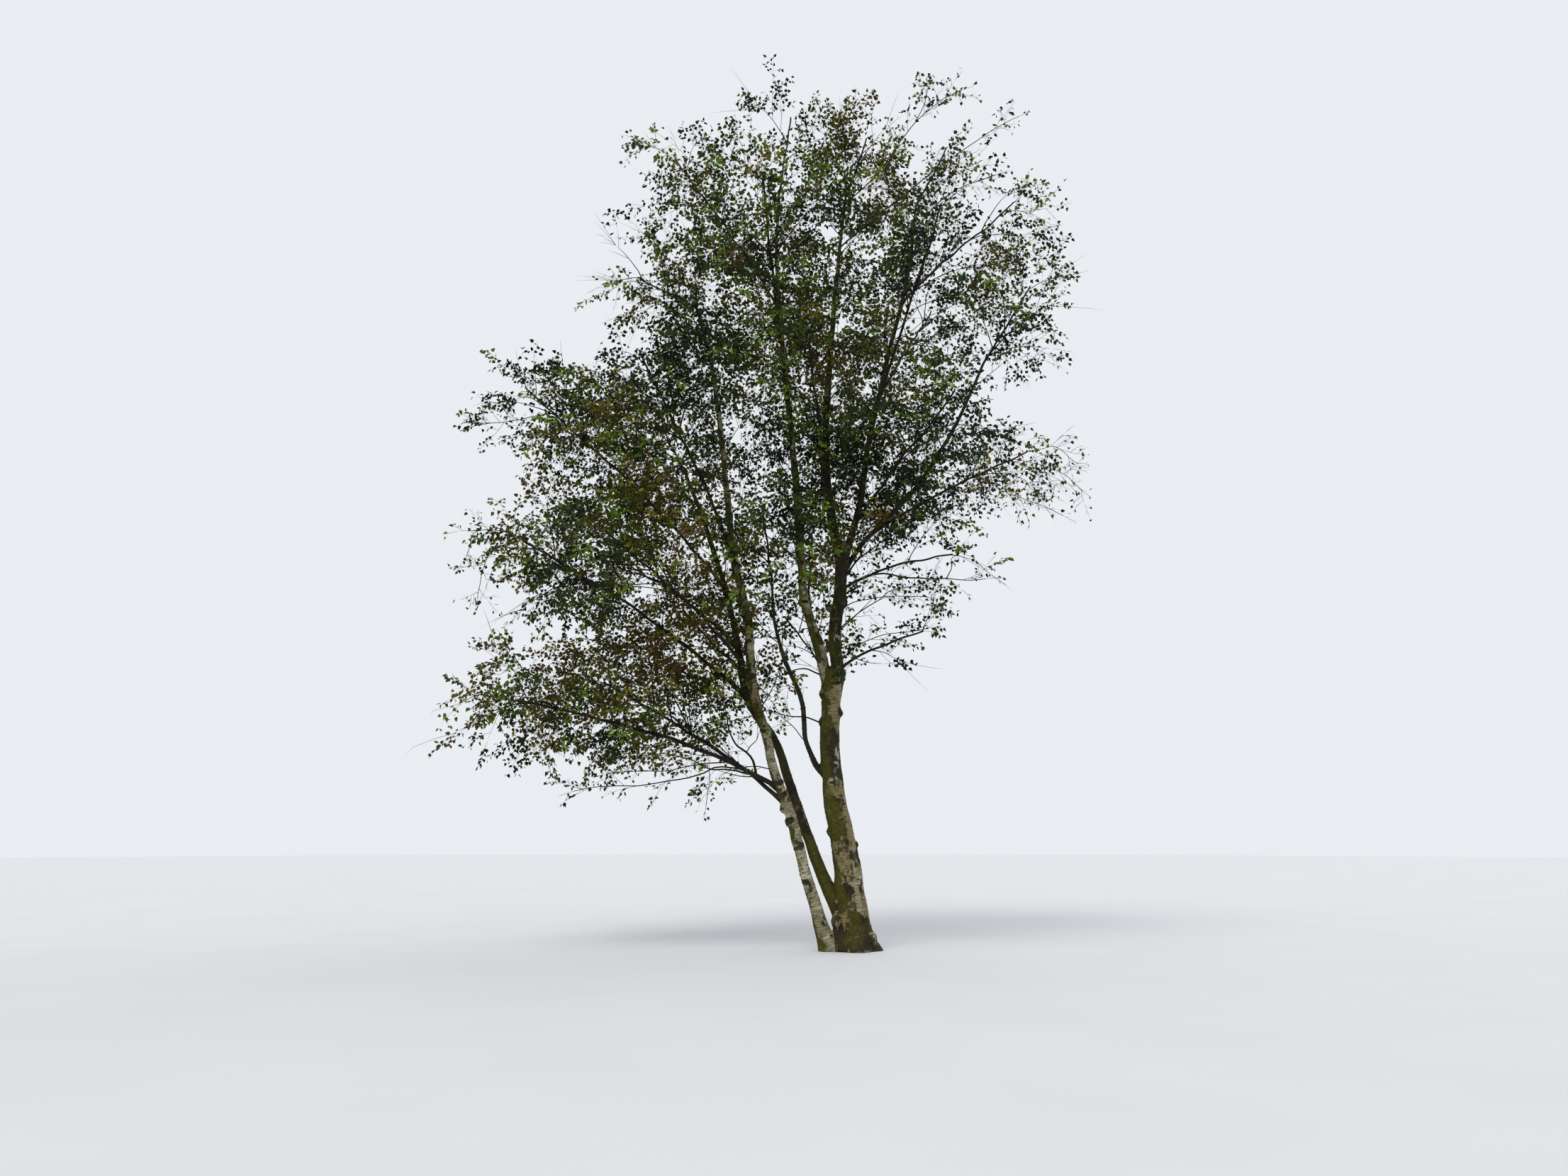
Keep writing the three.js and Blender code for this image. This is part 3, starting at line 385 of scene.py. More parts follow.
UP = np.array([0.0, 0.0, 1.0])
SIDEWAYS = np.array([1.0, 0.0, 0.0])
FULL_TURN = 2 * math.pi
ROUGH_TURN = 6.28
SHORT_STEP = 1e-4
HALVINGS = 40
# Places in the noise from which a bend's three parts are read.
BEND_OFFSETS = [Vector(offset) for offset in ((37.5, 11.2, 5.1), (24.3, 8.1, 9.7), (-8.9, 36.3, 31.1))]


def draw(*keys):
    """A number from 0 to 1 that depends only on its keys, as in the part's source. The last key tells draws apart."""
    h = 0x9E3779B9
    for key in keys:
        h = ((h ^ int(key)) * 0x85EBCA6B) & 0xFFFFFFFF
        h ^= h >> 13
        h = (h * 0xC2B2AE35) & 0xFFFFFFFF
        h ^= h >> 16
    return h / 4294967296


def unit(v):
    return v / np.linalg.norm(v, axis=-1, keepdims=True)


def lerp(a, b, t):
    return a + (b - a) * t


def smoothstep(x, low, high):
    t = np.clip((x - low) / (high - low), 0, 1)
    return t * t * (3 - 2 * t)


def square_to(direction, angle):
    """A direction square to another, turned by an angle about it."""
    across = unit(np.cross(direction, UP if abs(direction[2]) < 0.9 else SIDEWAYS))
    return across * math.cos(angle) + np.cross(direction, across) * math.sin(angle)


def leaning(direction, turn, angle):
    """A direction that leans from another by an angle, towards a side."""
    return direction * math.cos(angle) + square_to(direction, turn) * math.sin(angle)


def on_line(share, steps, line):
    """The point at a share of the way along a line whose points lie at the given steps."""
    return np.array([np.interp(share, steps, line[:, k]) for k in range(3)])


def noise_at(place):
    return noise.noise(Vector(place))


def bend_at(place):
    """A vector that drifts smoothly from place to place, by which stems and twigs leave their smooth lines."""
    return np.array([noise.noise(Vector(place) + offset) for offset in BEND_OFFSETS])


def thickness(place):
    """How thickly twigs stand at a place, by PLACES and in drifts of their own."""
    seen = EYE + (place - EYE) * EYE[1] / (EYE[1] - place[1])
    away = (((seen[[0, 2]] - PLACES[:, :2]) / PLACES[:, 2:4]) ** 2).sum(1)
    drift = sum((strength * noise_at(place * frequency) for strength, frequency in DRIFTS), 1)
    return float(np.prod(1 + (PLACES[:, 4] - 1) * np.exp(-(away**1.5)))) * drift


class Curve:
    """A curve from 0 to 1, whose direction is read off its points."""

    def tangent(self, t):
        return unit(self.point(min(t + SHORT_STEP, 1)) - self.point(max(t - SHORT_STEP, 0)))


class StemCurve(Curve):
    """A stem's centripetal Catmull-Rom curve through its stations, with its radius along it and small bends."""

    def __init__(self, stations, stray=STEM_STRAY):
        self.points = np.array([s[:3] for s in stations], float)
        self.radii = np.array([s[3] for s in stations], float)
        self.spans = len(stations) - 1
        self.stray = stray

    def point(self, t):
        p = self.smooth_point(t)
        bend = bend_at(p * STEM_BENDS) + FINE_SHARE * bend_at(p * STEM_FINE_BENDS)
        return p + bend * self.stray * min(1.0, t * BENDS_COME_IN)

    def smooth_point(self, t):
        i = min(int(t * self.spans), self.spans - 1)
        w = t * self.spans - i
        p = self.points
        before = p[i - 1] if i else 2 * p[0] - p[1]
        after = p[i + 2] if i + 2 <= self.spans else 2 * p[-1] - p[-2]
        a, b, c, d = before, p[i], p[i + 1], after
        ab, bc, cd = (max(np.linalg.norm(v) ** 0.5, 1e-4) for v in (b - a, c - b, d - c))
        start = ((b - a) / ab - (c - a) / (ab + bc) + (c - b) / bc) * bc
        end = ((c - b) / bc - (d - b) / (bc + cd) + (d - c) / cd) * bc
        return b + start * w + (3 * (c - b) - 2 * start - end) * w**2 + (2 * (b - c) + start + end) * w**3

    def radius(self, t):
        return float(np.interp(t * self.spans, range(self.spans + 1), self.radii))

    def at_height(self, z):
        """How far along the curve it passes a height."""
        if z == TIP:
            return 1.0
        low, high = 0.0, 1.0
        for _ in range(HALVINGS):
            middle = (low + high) / 2
            low, high = (middle, high) if self.point(middle)[2] < z else (low, middle)
        return (low + high) / 2


class Bezier(Curve):
    """A Bezier curve of any degree."""

    def __init__(self, *controls):
        self.controls = np.array(controls, float)

    def point(self, t):
        p = self.controls
        while len(p) > 1:
            p = lerp(p[:-1], p[1:], t)
        return p[0]


class Cell:
    """A mass's own space: its ellipsoid, cut off by a plane towards each neighbour that it would overlap."""

    def __init__(self, name):
        self.centre, self.size = (np.array(v, float) for v in MASSES[name][2:4])
        walls = []
        for other, mass in MASSES.items():
            away = np.array(mass[2], float) - self.centre
            distance = np.linalg.norm(away)
            if other == name:
                continue
            away /= distance
            own = np.linalg.norm(self.size * away)
            theirs = np.linalg.norm(np.array(mass[3]) * away)
            if own + theirs > distance:
                walls.append((*away, distance * own / (own + theirs)))
        self.walls = np.array(walls, float).reshape(-1, 4)

    def inside(self, p, margin=CELL_MARGIN):
        d = p - self.centre
        if np.linalg.norm(d / (self.size - margin)) > 1:
            return False
        return bool(np.all(self.walls[:, :3] @ d < self.walls[:, 3] - margin))

    def reach(self, p, direction, share=1.0):
        """A share of the way from a point inside the cell to its outer wall, and no further than its other walls."""
        d = p - self.centre
        o, v = d / self.size, direction / self.size
        a, b = v @ v, o @ v
        out = (-b + math.sqrt(max(0.0, b * b - a * (o @ o - 1)))) / a * share
        along = self.walls[:, :3] @ direction
        ahead = along > 1e-6
        if ahead.any():
            out = min(out, ((self.walls[ahead, 3] - self.walls[ahead, :3] @ d) / along[ahead]).min())
        return max(0.0, out)


def guide_of(name, stems, cell):
    """The line that a mass's bough and stem follow, and how far along it is in its cell for good."""
    on, height, _, _, _, lift = MASSES[name][:6]
    stem = stems[on]
    share = stem.at_height(height)
    root = stem.point(share)
    span = cell.centre - root
    heading = unit(span)
    parting = unit(stem.tangent(share) * (1 if height == TIP else SIDE_PARTING) + heading)
    last = unit(heading + UP * lift)
    end = cell.centre + last * FAR_SHARE * cell.reach(cell.centre, last)
    guide = Bezier(root, root + parting * GUIDE_LEAD * np.linalg.norm(span), cell.centre, end)
    checks = [i / GUIDE_CHECKS for i in range(GUIDE_CHECKS + 1)]
    outside = [i for i, t in enumerate(checks) if not cell.inside(guide.point(t), ENTRY_DEPTH)]
    return guide, (outside[-1] + 1) / GUIDE_CHECKS if outside else 0.0


def branchlet_of(seed, i, guide, entry, cell):
    """Branchlet i of a mass's stem: its curve, and where on the stem it starts."""
    height = 1 - 2 * ((0.5 + i * SPREAD_UP + draw(seed)) % 1)
    turn = FULL_TURN * ((0.5 + i * SPREAD_ROUND + draw(seed, 1)) % 1)
    flat = math.sqrt(1 - height * height)
    outward = np.array([flat * math.cos(turn), flat * math.sin(turn), height])
    share = lerp(*BRANCHLET_SHARE, draw(seed, i, 2))
    end = cell.centre + outward * cell.reach(cell.centre, outward, share)
    best = (math.inf,)
    for k in range(TWIG_STATIONS):
        t = lerp(entry, 1, lerp(FIRST_TWIG, LAST_TWIG, k / (TWIG_STATIONS - 1)))
        start = guide.point(t)
        span = end - start
        length = np.linalg.norm(span)
        miss = abs(math.acos(np.clip(span @ guide.tangent(t) / length, -1, 1)) - TWIG_ANGLE)
        if miss < best[0]:
            best = (miss, t, start, span, length)
    _, t, start, span, length = best
    arch = start + span * 0.5 + UP * length * TWIG_ARCH
    return Bezier(start, arch, end), t


def polyline(curve, count, droop=0.0):
    """Points along a curve, sinking by the square of the way gone."""
    points = np.array([curve.point(k / (count - 1)) for k in range(count)])
    gone = np.linalg.norm(points - points[0], axis=1)
    points[:, 2] -= droop * gone**2
    return points


def frames_along(points):
    """For each point of a line, its tangent and two directions square to it that don't twist."""
    tangents = unit(np.gradient(points, axis=0))
    across = SIDEWAYS
    out = []
    for tangent in tangents:
        across = unit(across - tangent * (across @ tangent))
        out.append((tangent, across, np.cross(tangent, across)))
    return out


class Grown:
    """All lines of the tree's growth: curves of its stems, boughs, branchlets and twigs, and places of its sprays."""

    def __init__(self, sizes):
        self.stems = {name: StemCurve(stations) for name, stations in STEMS.items()}
        self.cells = {name: Cell(name) for name in MASSES}
        self.centres = np.array([cell.centre for cell in self.cells.values()])
        self.spreads = np.array([cell.size for cell in self.cells.values()])
        self.boughs, self.branchlets, self.twigs, self.sprays = [], [], [], []
        self.carriers = {name: polyline(curve, STEM_POINTS) for name, curve in self.stems.items()}
        for seed, name in enumerate(MASSES, 1):
            self.grow_mass(name, seed, sizes)
        for seed, (name, (height, reach)) in enumerate(SIDE_BRANCHES.items(), SIDE_SEED):
            curve = self.stems[name]
            self.grow_side_branches(curve, curve.radius, curve.at_height(height), SIDE_END, seed, reach, sizes)
        for seed, name in enumerate(LONE_BRANCHES, LONE_SEED):
            self.grow_lone_branch(name, seed)

    def outness(self, place):
        """How far a place is from each mass's centre, counted in its half-sizes."""
        return np.linalg.norm((place - self.centres) / self.spreads, axis=1)

    def grow_mass(self, name, seed, sizes):
        cell = self.cells[name]
        guide, entry = guide_of(name, self.stems, cell)
        root_radius, _, fullness, *habit = MASSES[name][4:]
        points = polyline(guide, BOUGH_POINTS)
        shares = np.linspace(0, 1, len(points))
        radii = lerp(root_radius * BOUGH_GIRTH, STEM_END_RADIUS * BOUGH_GIRTH, shares**BOUGH_TAPER)
        if MASSES[name][1] != TIP:
            radii = radii * (1 + COLLAR * np.exp(-shares * np.linalg.norm(points[-1] - points[0]) / COLLAR_LENGTH))
        bends = np.array([bend_at(p * BOUGH_BENDS + (seed, 0, 0)) for p in points])
        points = points + bends * (BOUGH_STRAY * np.sin(shares * math.pi) ** 0.5)[:, None]
        self.boughs.append((points, radii))
        self.carriers["bough_" + name] = points
        if entry > BARE_BOUGH:
            girth, reach = root_radius * BOUGH_SIDE_GIRTH, BOUGH_SIDE_REACH
            key = seed + BOUGH_SIDE_SEED
            self.grow_side_branches(guide, lambda t: girth, BOUGH_SIDE_START, entry, key, reach, sizes, 1)
        for i in range(max(3, round(sizes.branchlets * fullness * np.prod(cell.size) ** (2 / 3)))):
            curve, t = branchlet_of(seed, i, guide, entry, cell)
            if thickness(curve.point(1)) < BRANCHLET_THINNING * draw(seed, i, 16):
                continue
            own = lerp(root_radius, STEM_END_RADIUS, t**TAPER) * TWIG_GIRTH
            self.add_branchlet(curve, own, (seed, i), cell, habit)

    def grow_side_branches(self, curve, radius, first, last, seed, reach, sizes, fewest=3):
        """Thin branches all along a stem or bough, each a golden turn on from the last, where the crown is."""
        length = np.linalg.norm(curve.point(last) - curve.point(first))
        count = max(fewest, round(length / sizes.side_branch_gap))
        for k in range(count):
            t = lerp(first, last, (k + draw(seed, k)) / count)
            start = curve.point(t)
            angle = math.radians(lerp(*SIDE_ANGLES, draw(seed, k, 1)))
            heading = leaning(curve.tangent(t), k * GOLDEN_ANGLE + seed, angle)
            span = reach * lerp(*SIDE_LENGTHS, draw(seed, k, 2)) * (1 - SIDE_SHORTENING * t)
            end = start + heading * span + UP * span * SIDE_RISE
            outness = self.outness(end)
            if outness.min() > SIDE_LIMIT:
                continue
            droop, bare, autumn = MASSES[list(self.cells)[int(outness.argmin())]][7:]
            habit = (droop, max(bare, SIDE_BARE), autumn)
            self.add_branchlet(Bezier(start, start + heading * span * 0.5, end), radius(t) * SIDE_GIRTH,
                               (seed, k), None, habit)

    def grow_lone_branch(self, name, seed):
        """A branch through its own stations, moved onto what carries it."""
        carrier, radius, bare, stations = LONE_BRANCHES[name]
        points = np.array(stations, float)
        on = self.carriers[carrier]
        shift = on[np.linalg.norm(on - points[0], axis=1).argmin()] - points[0]
        points += shift * (np.linspace(1, 0, len(points)) ** 2)[:, None]
        line = polyline(StemCurve([(*p, 0) for p in points], LONE_STRAY), LONE_POINTS)
        self.boughs.append((line, lerp(radius, min(radius, LONE_END), np.linspace(0, 1, LONE_POINTS) ** TAPER)))
        self.carriers[name] = line
        length = np.linalg.norm(line[-1] - line[0])
        habit = (LONE_DROOP, bare, LONE_AUTUMN)
        self.grow_twigs(line, (seed, 1), None, length, habit, LONE_TWIG_SIZE, lambda place: LONE_THICKNESS)

    def add_branchlet(self, curve, thickest, keys, cell, habit):
        line = polyline(curve, BRANCHLET_POINTS, habit[0] * BRANCHLET_SAG)
        length = np.linalg.norm(line[-1] - line[0])
        line[1:-1] += [BRANCHLET_STRAY * length * bend_at(p * BRANCHLET_BENDS) for p in line[1:-1]]
        girth = min(thickest, BRANCHLET_RADIUS + RADIUS_PER_METRE * length)
        self.branchlets.append((line, lerp(girth, BRANCHLET_END, np.linspace(0, 1, BRANCHLET_POINTS) ** TAPER)))
        self.grow_twigs(line, keys, cell, length, habit)

    def add_twig(self, curve, radii):
        self.twigs.append((polyline(curve, TWIG_POINTS), np.linspace(*radii, TWIG_POINTS)))

    def grow_twigs(self, line, keys, cell, length, habit, size=1.0, thick=thickness):
        """The twigs of one branchlet, and the sprays on them and on its end."""
        droop, bare = habit[:2]
        count = max(2, round(length / TWIG_GAP * THICKEST))
        turn = draw(*keys, 5) * FULL_TURN
        steps = np.linspace(0, 1, len(line))
        for j in range(count):
            t = lerp(*TWIG_SPAN, (j + draw(*keys, j, 6)) / count)
            start = on_line(t, steps, line)
            near = min(int(t * (len(line) - 1)), len(line) - 2)
            angle = math.radians(lerp(*TWIG_ANGLES, t) * lerp(*TWIG_ANGLE_SPREAD, draw(*keys, j, 7)))
            leaving = leaning(unit(line[near + 1] - line[near]), turn + j * GOLDEN_ANGLE, angle)
            heading = unit(leaving + UP * (TWIG_LIFT - TWIG_DROOP * droop))
            limit = cell.reach(start, heading) if cell and cell.inside(start, 0) else FREE_TWIG
            own = TWIG_LENGTH * size * lerp(*TWIG_SHORTENING, t) * lerp(*TWIG_LENGTHS, draw(*keys, j, 8))
            reach = min(limit, own)
            if reach < SHORTEST_TWIG or thick(start + heading * reach) < THICKEST * draw(*keys, j, 17):
                continue
            aside = square_to(heading, ROUGH_TURN * draw(*keys, j, 9))
            bend = unit(heading * END_AHEAD + aside * END_ASIDE + UP * (END_UP - droop * TWIG_DROOP))
            curve = Bezier(start, start + heading * reach * 0.5, start + (heading + bend) * reach * 0.5)
            self.add_twig(curve, TWIG_RADII)
            for n, station in enumerate(SPRAY_STATIONS):
                self.add_spray(curve, station, (*keys, j, n), habit, cell, size, thick)
        end = Bezier(line[-2], lerp(line[-2], line[-1], 0.5), line[-1])
        self.add_spray(end, 1.0, (*keys, END_KEY, 0), habit, cell, size, thick)
        for n in range(WHIPS):
            ahead = end.tangent(1) + WHIP_ASIDE * square_to(end.tangent(1), ROUGH_TURN * draw(*keys, n, 21))
            span = lerp(*WHIP_LENGTHS, draw(*keys, n, 22))
            tip = line[-1] + unit(ahead) * span - UP * span * droop * WHIP_SAG
            outside = self.outness(tip).min() > CROWN_EDGE
            if cell and outside and draw(*keys, n, 23) < WHIP_CHANCE + BARE_WHIP_CHANCE * bare:
                self.add_twig(Bezier(line[-1], line[-1] + unit(ahead) * span * 0.5, tip), WHIP_RADII)

    def add_spray(self, curve, station, keys, habit, cell, size, thick):
        """A spray of leafy shoots, ahead at a twig's end and aside below it."""
        droop, bare, autumn = habit
        place, along = curve.point(station), curve.tangent(station)
        if thick(place) < SPRAY_THINNING * draw(*keys, 18):
            return
        if station < 1:
            aside = square_to(along, FULL_TURN * draw(*keys, 11))
            along = unit(along * SPRAY_AHEAD + aside * SPRAY_ASIDE + UP * SPRAY_UP)
        fallen = bare
        if cell:
            depth = np.linalg.norm((place - cell.centre) / cell.size)
            fallen = float(draw(*keys, 13) < bare * smoothstep(depth, 0.5, 1.0) * RIM_FALL)
        length = lerp(*SPRAY_LENGTHS, draw(*keys, 12)) * size
        sag = droop * lerp(*SPRAY_SAG, draw(*keys, 14))
        self.sprays.append((*place, *along, length, sag, fallen, draw(*keys, 15), autumn))


@functools.lru_cache(maxsize=1)
def grown():
    return Grown(bpy.context.scene.birch_sizes)


def flat_floats(values):
    return np.ascontiguousarray(values, np.float32).ravel()


def finish_mesh(name, mesh, material, nodes):
    """Makes a mesh an object that rides on the tree's body and stands for CAD nodes."""
    piece = bpy.data.objects.new(name, mesh)
    bpy.context.collection.objects.link(piece)
    mesh.materials.append(material)
    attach(piece, BODY)
    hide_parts(*nodes)


def joined_mesh(name, points, faces, smooth):
    """One mesh from arrays of points and of faces with equal numbers of corners."""
    mesh = bpy.data.meshes.new(name)
    mesh.vertices.add(len(points))
    mesh.vertices.foreach_set("co", flat_floats(points))
    mesh.loops.add(faces.size)
    mesh.loops.foreach_set("vertex_index", np.ascontiguousarray(faces, np.int32).ravel())
    mesh.polygons.add(len(faces))
    mesh.polygons.foreach_set("loop_start", np.arange(0, faces.size, faces.shape[1], dtype=np.int32))
    mesh.polygons.foreach_set("use_smooth", np.full(len(faces), smooth))
    mesh.update(calc_edges=True)
    return mesh


def mesh_of(bm, name):
    """A bmesh as a mesh of its own."""
    mesh = bpy.data.meshes.new(name)
    bm.to_mesh(mesh)
    bm.free()
    return mesh


def shade_smooth(mesh):
    mesh.polygons.foreach_set("use_smooth", np.full(len(mesh.polygons), True))


def thin_tubes(points, radii, sides=3):
    """Closed pointed tubes along lines (n, k, 3) with radii (n, k), as one array of points and one of triangles."""
    n, k = radii.shape
    tangents = unit(np.gradient(points, axis=1))
    reference = np.where(np.abs(unit(points[:, -1:] - points[:, :1])[..., 2:]) < 0.8, UP, SIDEWAYS)
    across = unit(np.cross(tangents, reference))
    over = np.cross(tangents, across)
    angles = np.arange(sides) * 2 * math.pi / sides
    ring = across[:, :, None] * np.cos(angles)[:, None] + over[:, :, None] * np.sin(angles)[:, None]
    rings = (points[:, :, None] + ring * radii[:, :, None, None])[:, :-1].reshape(n, -1, 3)
    vertices = np.concatenate([rings, points[:, -1:]], 1)
    low = np.arange(sides)
    high = (low + 1) % sides
    walls = np.stack([low, low + sides, high + sides, low, high + sides, high], 1).reshape(-1, 3)
    tube = [walls + row * sides for row in range(k - 2)]
    tube.append(np.stack([low + (k - 2) * sides, np.full(sides, (k - 1) * sides), high + (k - 2) * sides], 1))
    tube.append(np.array([(0, i + 1, i + 2) for i in range(sides - 2)]))
    faces = np.concatenate(tube)[None] + (np.arange(n) * vertices.shape[1])[:, None, None]
    return vertices.reshape(-1, 3), faces.reshape(-1, 3)[:, ::-1]


def linear(colour):
    """A colour given as an sRGB hex value such as #CFCBC0, or a property's sRGB numbers, as linear RGBA."""
    if isinstance(colour, str):
        colour = [int(colour[i : i + 2], 16) / 255 for i in (1, 3, 5)]
    return (*(c / 12.92 if c <= 0.04045 else ((c + 0.055) / 1.055) ** 2.4 for c in colour[:3]), 1.0)


def shades(colour, shares):
    """A colour at several shares of its brightness."""
    return [(*(min(1.0, c * share) for c in linear(colour)[:3]), 1.0) for share in shares]


def per_metre(millimetres):
    """The scale of a pattern whose patches are this wide."""
    return 1000 / millimetres


def add_node(material, kind, settings=None, **links):
    """Adds a node with its settings and the values or outputs that go into its inputs, and returns its output."""
    tree = material.node_tree
    node = tree.nodes.new("ShaderNode" + kind)
    settings = dict(settings or {})
    for i, (position, colour) in enumerate(settings.pop("stops", ())):
        elements = node.color_ramp.elements
        element = elements[i] if i < len(elements) else elements.new(position)
        element.position, element.color = position, colour
    for key, value in settings.items():
        setattr(node, key, value)
    for key, value in links.items():
        socket = node.inputs[int(key[1:])] if key[1:].isdigit() else node.inputs[key.replace("_", " ")]
        if isinstance(value, bpy.types.NodeSocket):
            tree.links.new(value, socket)
        else:
            socket.default_value = value
    return next(output for output in node.outputs if output.enabled)


def new_material(name):
    """A material and a function that adds nodes to it."""
    material = bpy.data.materials.new(name)
    material.use_nodes = True
    return material, functools.partial(add_node, material)


def finish_material(material, colour, roughness, specular, bump=None):
    """Gives a material's shader its colour, its even roughness and specular level, and its relief."""
    shader, links = material.node_tree.nodes["Principled BSDF"].inputs, material.node_tree.links
    links.new(colour, shader["Base Color"])
    shader["Roughness"].default_value = roughness
    shader["Specular IOR Level"].default_value = specular
    if bump:
        links.new(bump, shader["Normal"])
    return material


# Where each stem's bark is pale, mossy or brown: (height, paleness, moss, brown), from the foot up.
BARK_ZONES = {
    "trunk": [
        (0, 0.42, 0.36, 0.45), (0.5, 0.5, 0.4, 0.5), (0.8, 0.55, 0.48, 0.5), (1.1, 0.55, 0.5, 0.55),
        (1.55, 0.64, 0.42, 0.45), (1.75, 0.5, 0.58, 0.55), (1.95, 0.56, 0.48, 0.55), (2.2, 0.32, 0.45, 0.45),
        (2.55, 0.22, 0.45, 0.35), (2.7, 0.58, 0.5, 0.65), (3.1, 0.62, 0.5, 0.65), (3.45, 0.35, 0.66, 0.45),
    ],
    "right_leader": [(3.3, 0.25, 0.75, 0), (4.0, 0.08, 0.5, 0.2), (4.6, 0.02, 0.35, 0.2), (12, 0.02, 0.25, 0.3)],
    "left_leader": [(3.3, 0.6, 0.6, 0.2), (4.2, 0.6, 0.5, 0.35), (5.5, 0.42, 0.5, 0.3), (12, 0.15, 0.3, 0.3)],
    "left_stem": [
        (0, 0.6, 0.45, 0.2), (0.5, 0.7, 0.4, 0.2), (1.2, 0.7, 0.35, 0.1), (1.65, 0.72, 0.3, 0), (1.8, 0.6, 0.5, 0.2),
        (2.1, 0.72, 0.3, 0.1), (2.4, 0.85, 0.2, 0.1), (2.8, 0.7, 0.35, 0.5), (3.6, 0.65, 0.4, 0.5),
        (4.6, 0.55, 0.4, 0.4), (12, 0.2, 0.3, 0.3),
    ],
    "mid_stem": [
        (0, 0.1, 0.8, 0.1), (0.5, 0.1, 1.0, 0), (1.3, 0.1, 0.9, 0), (1.8, 0.05, 0.35, 0), (3.0, 0.1, 0.3, 0.2),
        (12, 0.1, 0.3, 0.3),
    ],
    "side_stem": [(2, -0.2, 0.1, 0), (12, -0.1, 0.2, 0.2)],
    "right_limb_up": [(4, 0, 0.3, 0.2), (12, 0.05, 0.25, 0.3)],
    "right_limb_out": [(4, 0, 0.3, 0.2), (12, 0.05, 0.25, 0.3)],
}

# Dark scars in the bark: height, direction round the stem in degrees, half-width, half-height and slant.
SCARS = {
    "trunk": [
        (0.3, 300, 0.14, 0.1, -0.3), (0.55, 235, 0.09, 0.07, 0), (0.72, 262, 0.1, 0.08, 0.3),
        (1.23, 345, 0.05, 0.06, 0.2), (1.41, 205, 0.06, 0.06, 0), (1.5, 255, 0.05, 0.018, 0),
        (1.79, 272, 0.075, 0.035, 0.7), (1.99, 262, 0.045, 0.02, 0), (2.2, 280, 0.08, 0.032, 0.1),
        (2.3, 275, 0.11, 0.045, 0.3), (2.53, 258, 0.15, 0.14, 0), (1.1, 340, 0.07, 0.13, 0.3),
        (2.88, 335, 0.06, 0.08, 0), (3.04, 205, 0.08, 0.09, 0), (3.23, 275, 0.15, 0.03, 0), (3.36, 255, 0.1, 0.03, 0),
    ],
    "left_stem": [
        (0.8, 240, 0.07, 0.04, 0), (1.2, 250, 0.08, 0.03, -0.2), (1.52, 225, 0.08, 0.06, -0.3),
        (1.7, 180, 0.06, 0.06, 0), (1.84, 270, 0.07, 0.05, -0.5), (1.99, 300, 0.05, 0.05, -0.5),
        (2.62, 250, 0.06, 0.035, 0), (3.3, 280, 0.07, 0.05, 0), (3.75, 260, 0.06, 0.03, 0),
    ],
    "left_leader": [(3.78, 320, 0.05, 0.07, 0), (4.28, 270, 0.07, 0.03, 0), (4.8, 250, 0.05, 0.04, 0)],
    "mid_stem": [(0.5, 270, 0.09, 0.07, 0.2), (0.9, 300, 0.06, 0.05, 0.4), (1.6, 250, 0.07, 0.1, 0)],
}

# Knobs where old branches were shed: height, direction round the stem in degrees, and size in metres. Then how
# deep they sit, as a share of their size, and how much taller than wide they are.
KNOBS = {
    "left_stem": [(1.69, 195, 0.062), (1.52, 205, 0.05), (2.62, 20, 0.042), (3.3, 150, 0.05), (1.98, 310, 0.04)],
    "trunk": [
        (1.12, 250, 0.05), (2.2, 300, 0.045), (2.75, 160, 0.055), (0.35, 215, 0.09), (0.12, 330, 0.1),
        (3.1, 200, 0.06), (2.86, 350, 0.05), (1.4, 190, 0.05), (1.24, 5, 0.045),
    ],
    "left_leader": [(4.28, 180, 0.045)],
    "right_leader": [(4.3, 30, 0.06), (3.7, 200, 0.055)],
    "mid_stem": [(1.9, 170, 0.04)],
}
KNOB_SUNK, KNOB_HEIGHT = 0.35, 1.3
# Small scars all round, up to this height and this far apart, with their half-widths and how flat they are.
SCAR_TOP, SCAR_GAP, SCAR_WIDTHS, SCAR_FLATNESS, TRUNK_SCARS = 5.2, 0.17, (0.018, 0.05), (0.3, 0.9), 1.4
SCAR_DEPTH = 0.12
# The bark's relief: its depth from a scar's rim to its middle, then how many lumps, plates and wrinkles there are to
# the metre, both ways across the stem and along it. The plates and the foot's own lumps fade out above the foot.
SCAR_PROFILE = ((0, 0.12, 0.3, 0.8), (0, 0.35, 0.0, -0.45))
LUMPS, PLATES, WRINKLES = (np.array(steps) for steps in ((5, 5, 3.2), (17, 17, 6), (9, 9, 42)))
ROUGH_HEIGHT = 0.55
# How large they are beside a scar's rim: lumps high up and what the foot adds, plates and where they end, wrinkles.
LUMP_SIZE, FOOT_LUMP_SIZE, PLATE_SIZE, PLATE_EDGE, WRINKLE_SIZE = 0.45, 0.9, 0.9, 0.6, 0.2
# Every stem reads the bark's pattern at a place of its own, this far from the next, and by its whole length, in
# short steps.
STEMS_APART, ALL_HEIGHTS, FINE_STEP = 3.1, (-1, 20), 0.02
# The bark's dry side, right and a little to the front, how far and how often to the metre it wanders, and how it
# changes paleness, moss and brown. It is less mossy there, away from the algae's damp side, and paler, which is
# painted light. The other side, left and a little to the back, is mossier, and darker and browner, which is painted
# shade.
DRY_AND_PAINTED_LIGHT_SIDE, WANDER, WANDER_BENDS = (0.7, -0.2), 1.1, (4, 4, 2)
DRY_AND_PAINTED_LIGHT_CHANGE = (0.26, -0.42, -0.2)
MOST_ZONE = 1.2


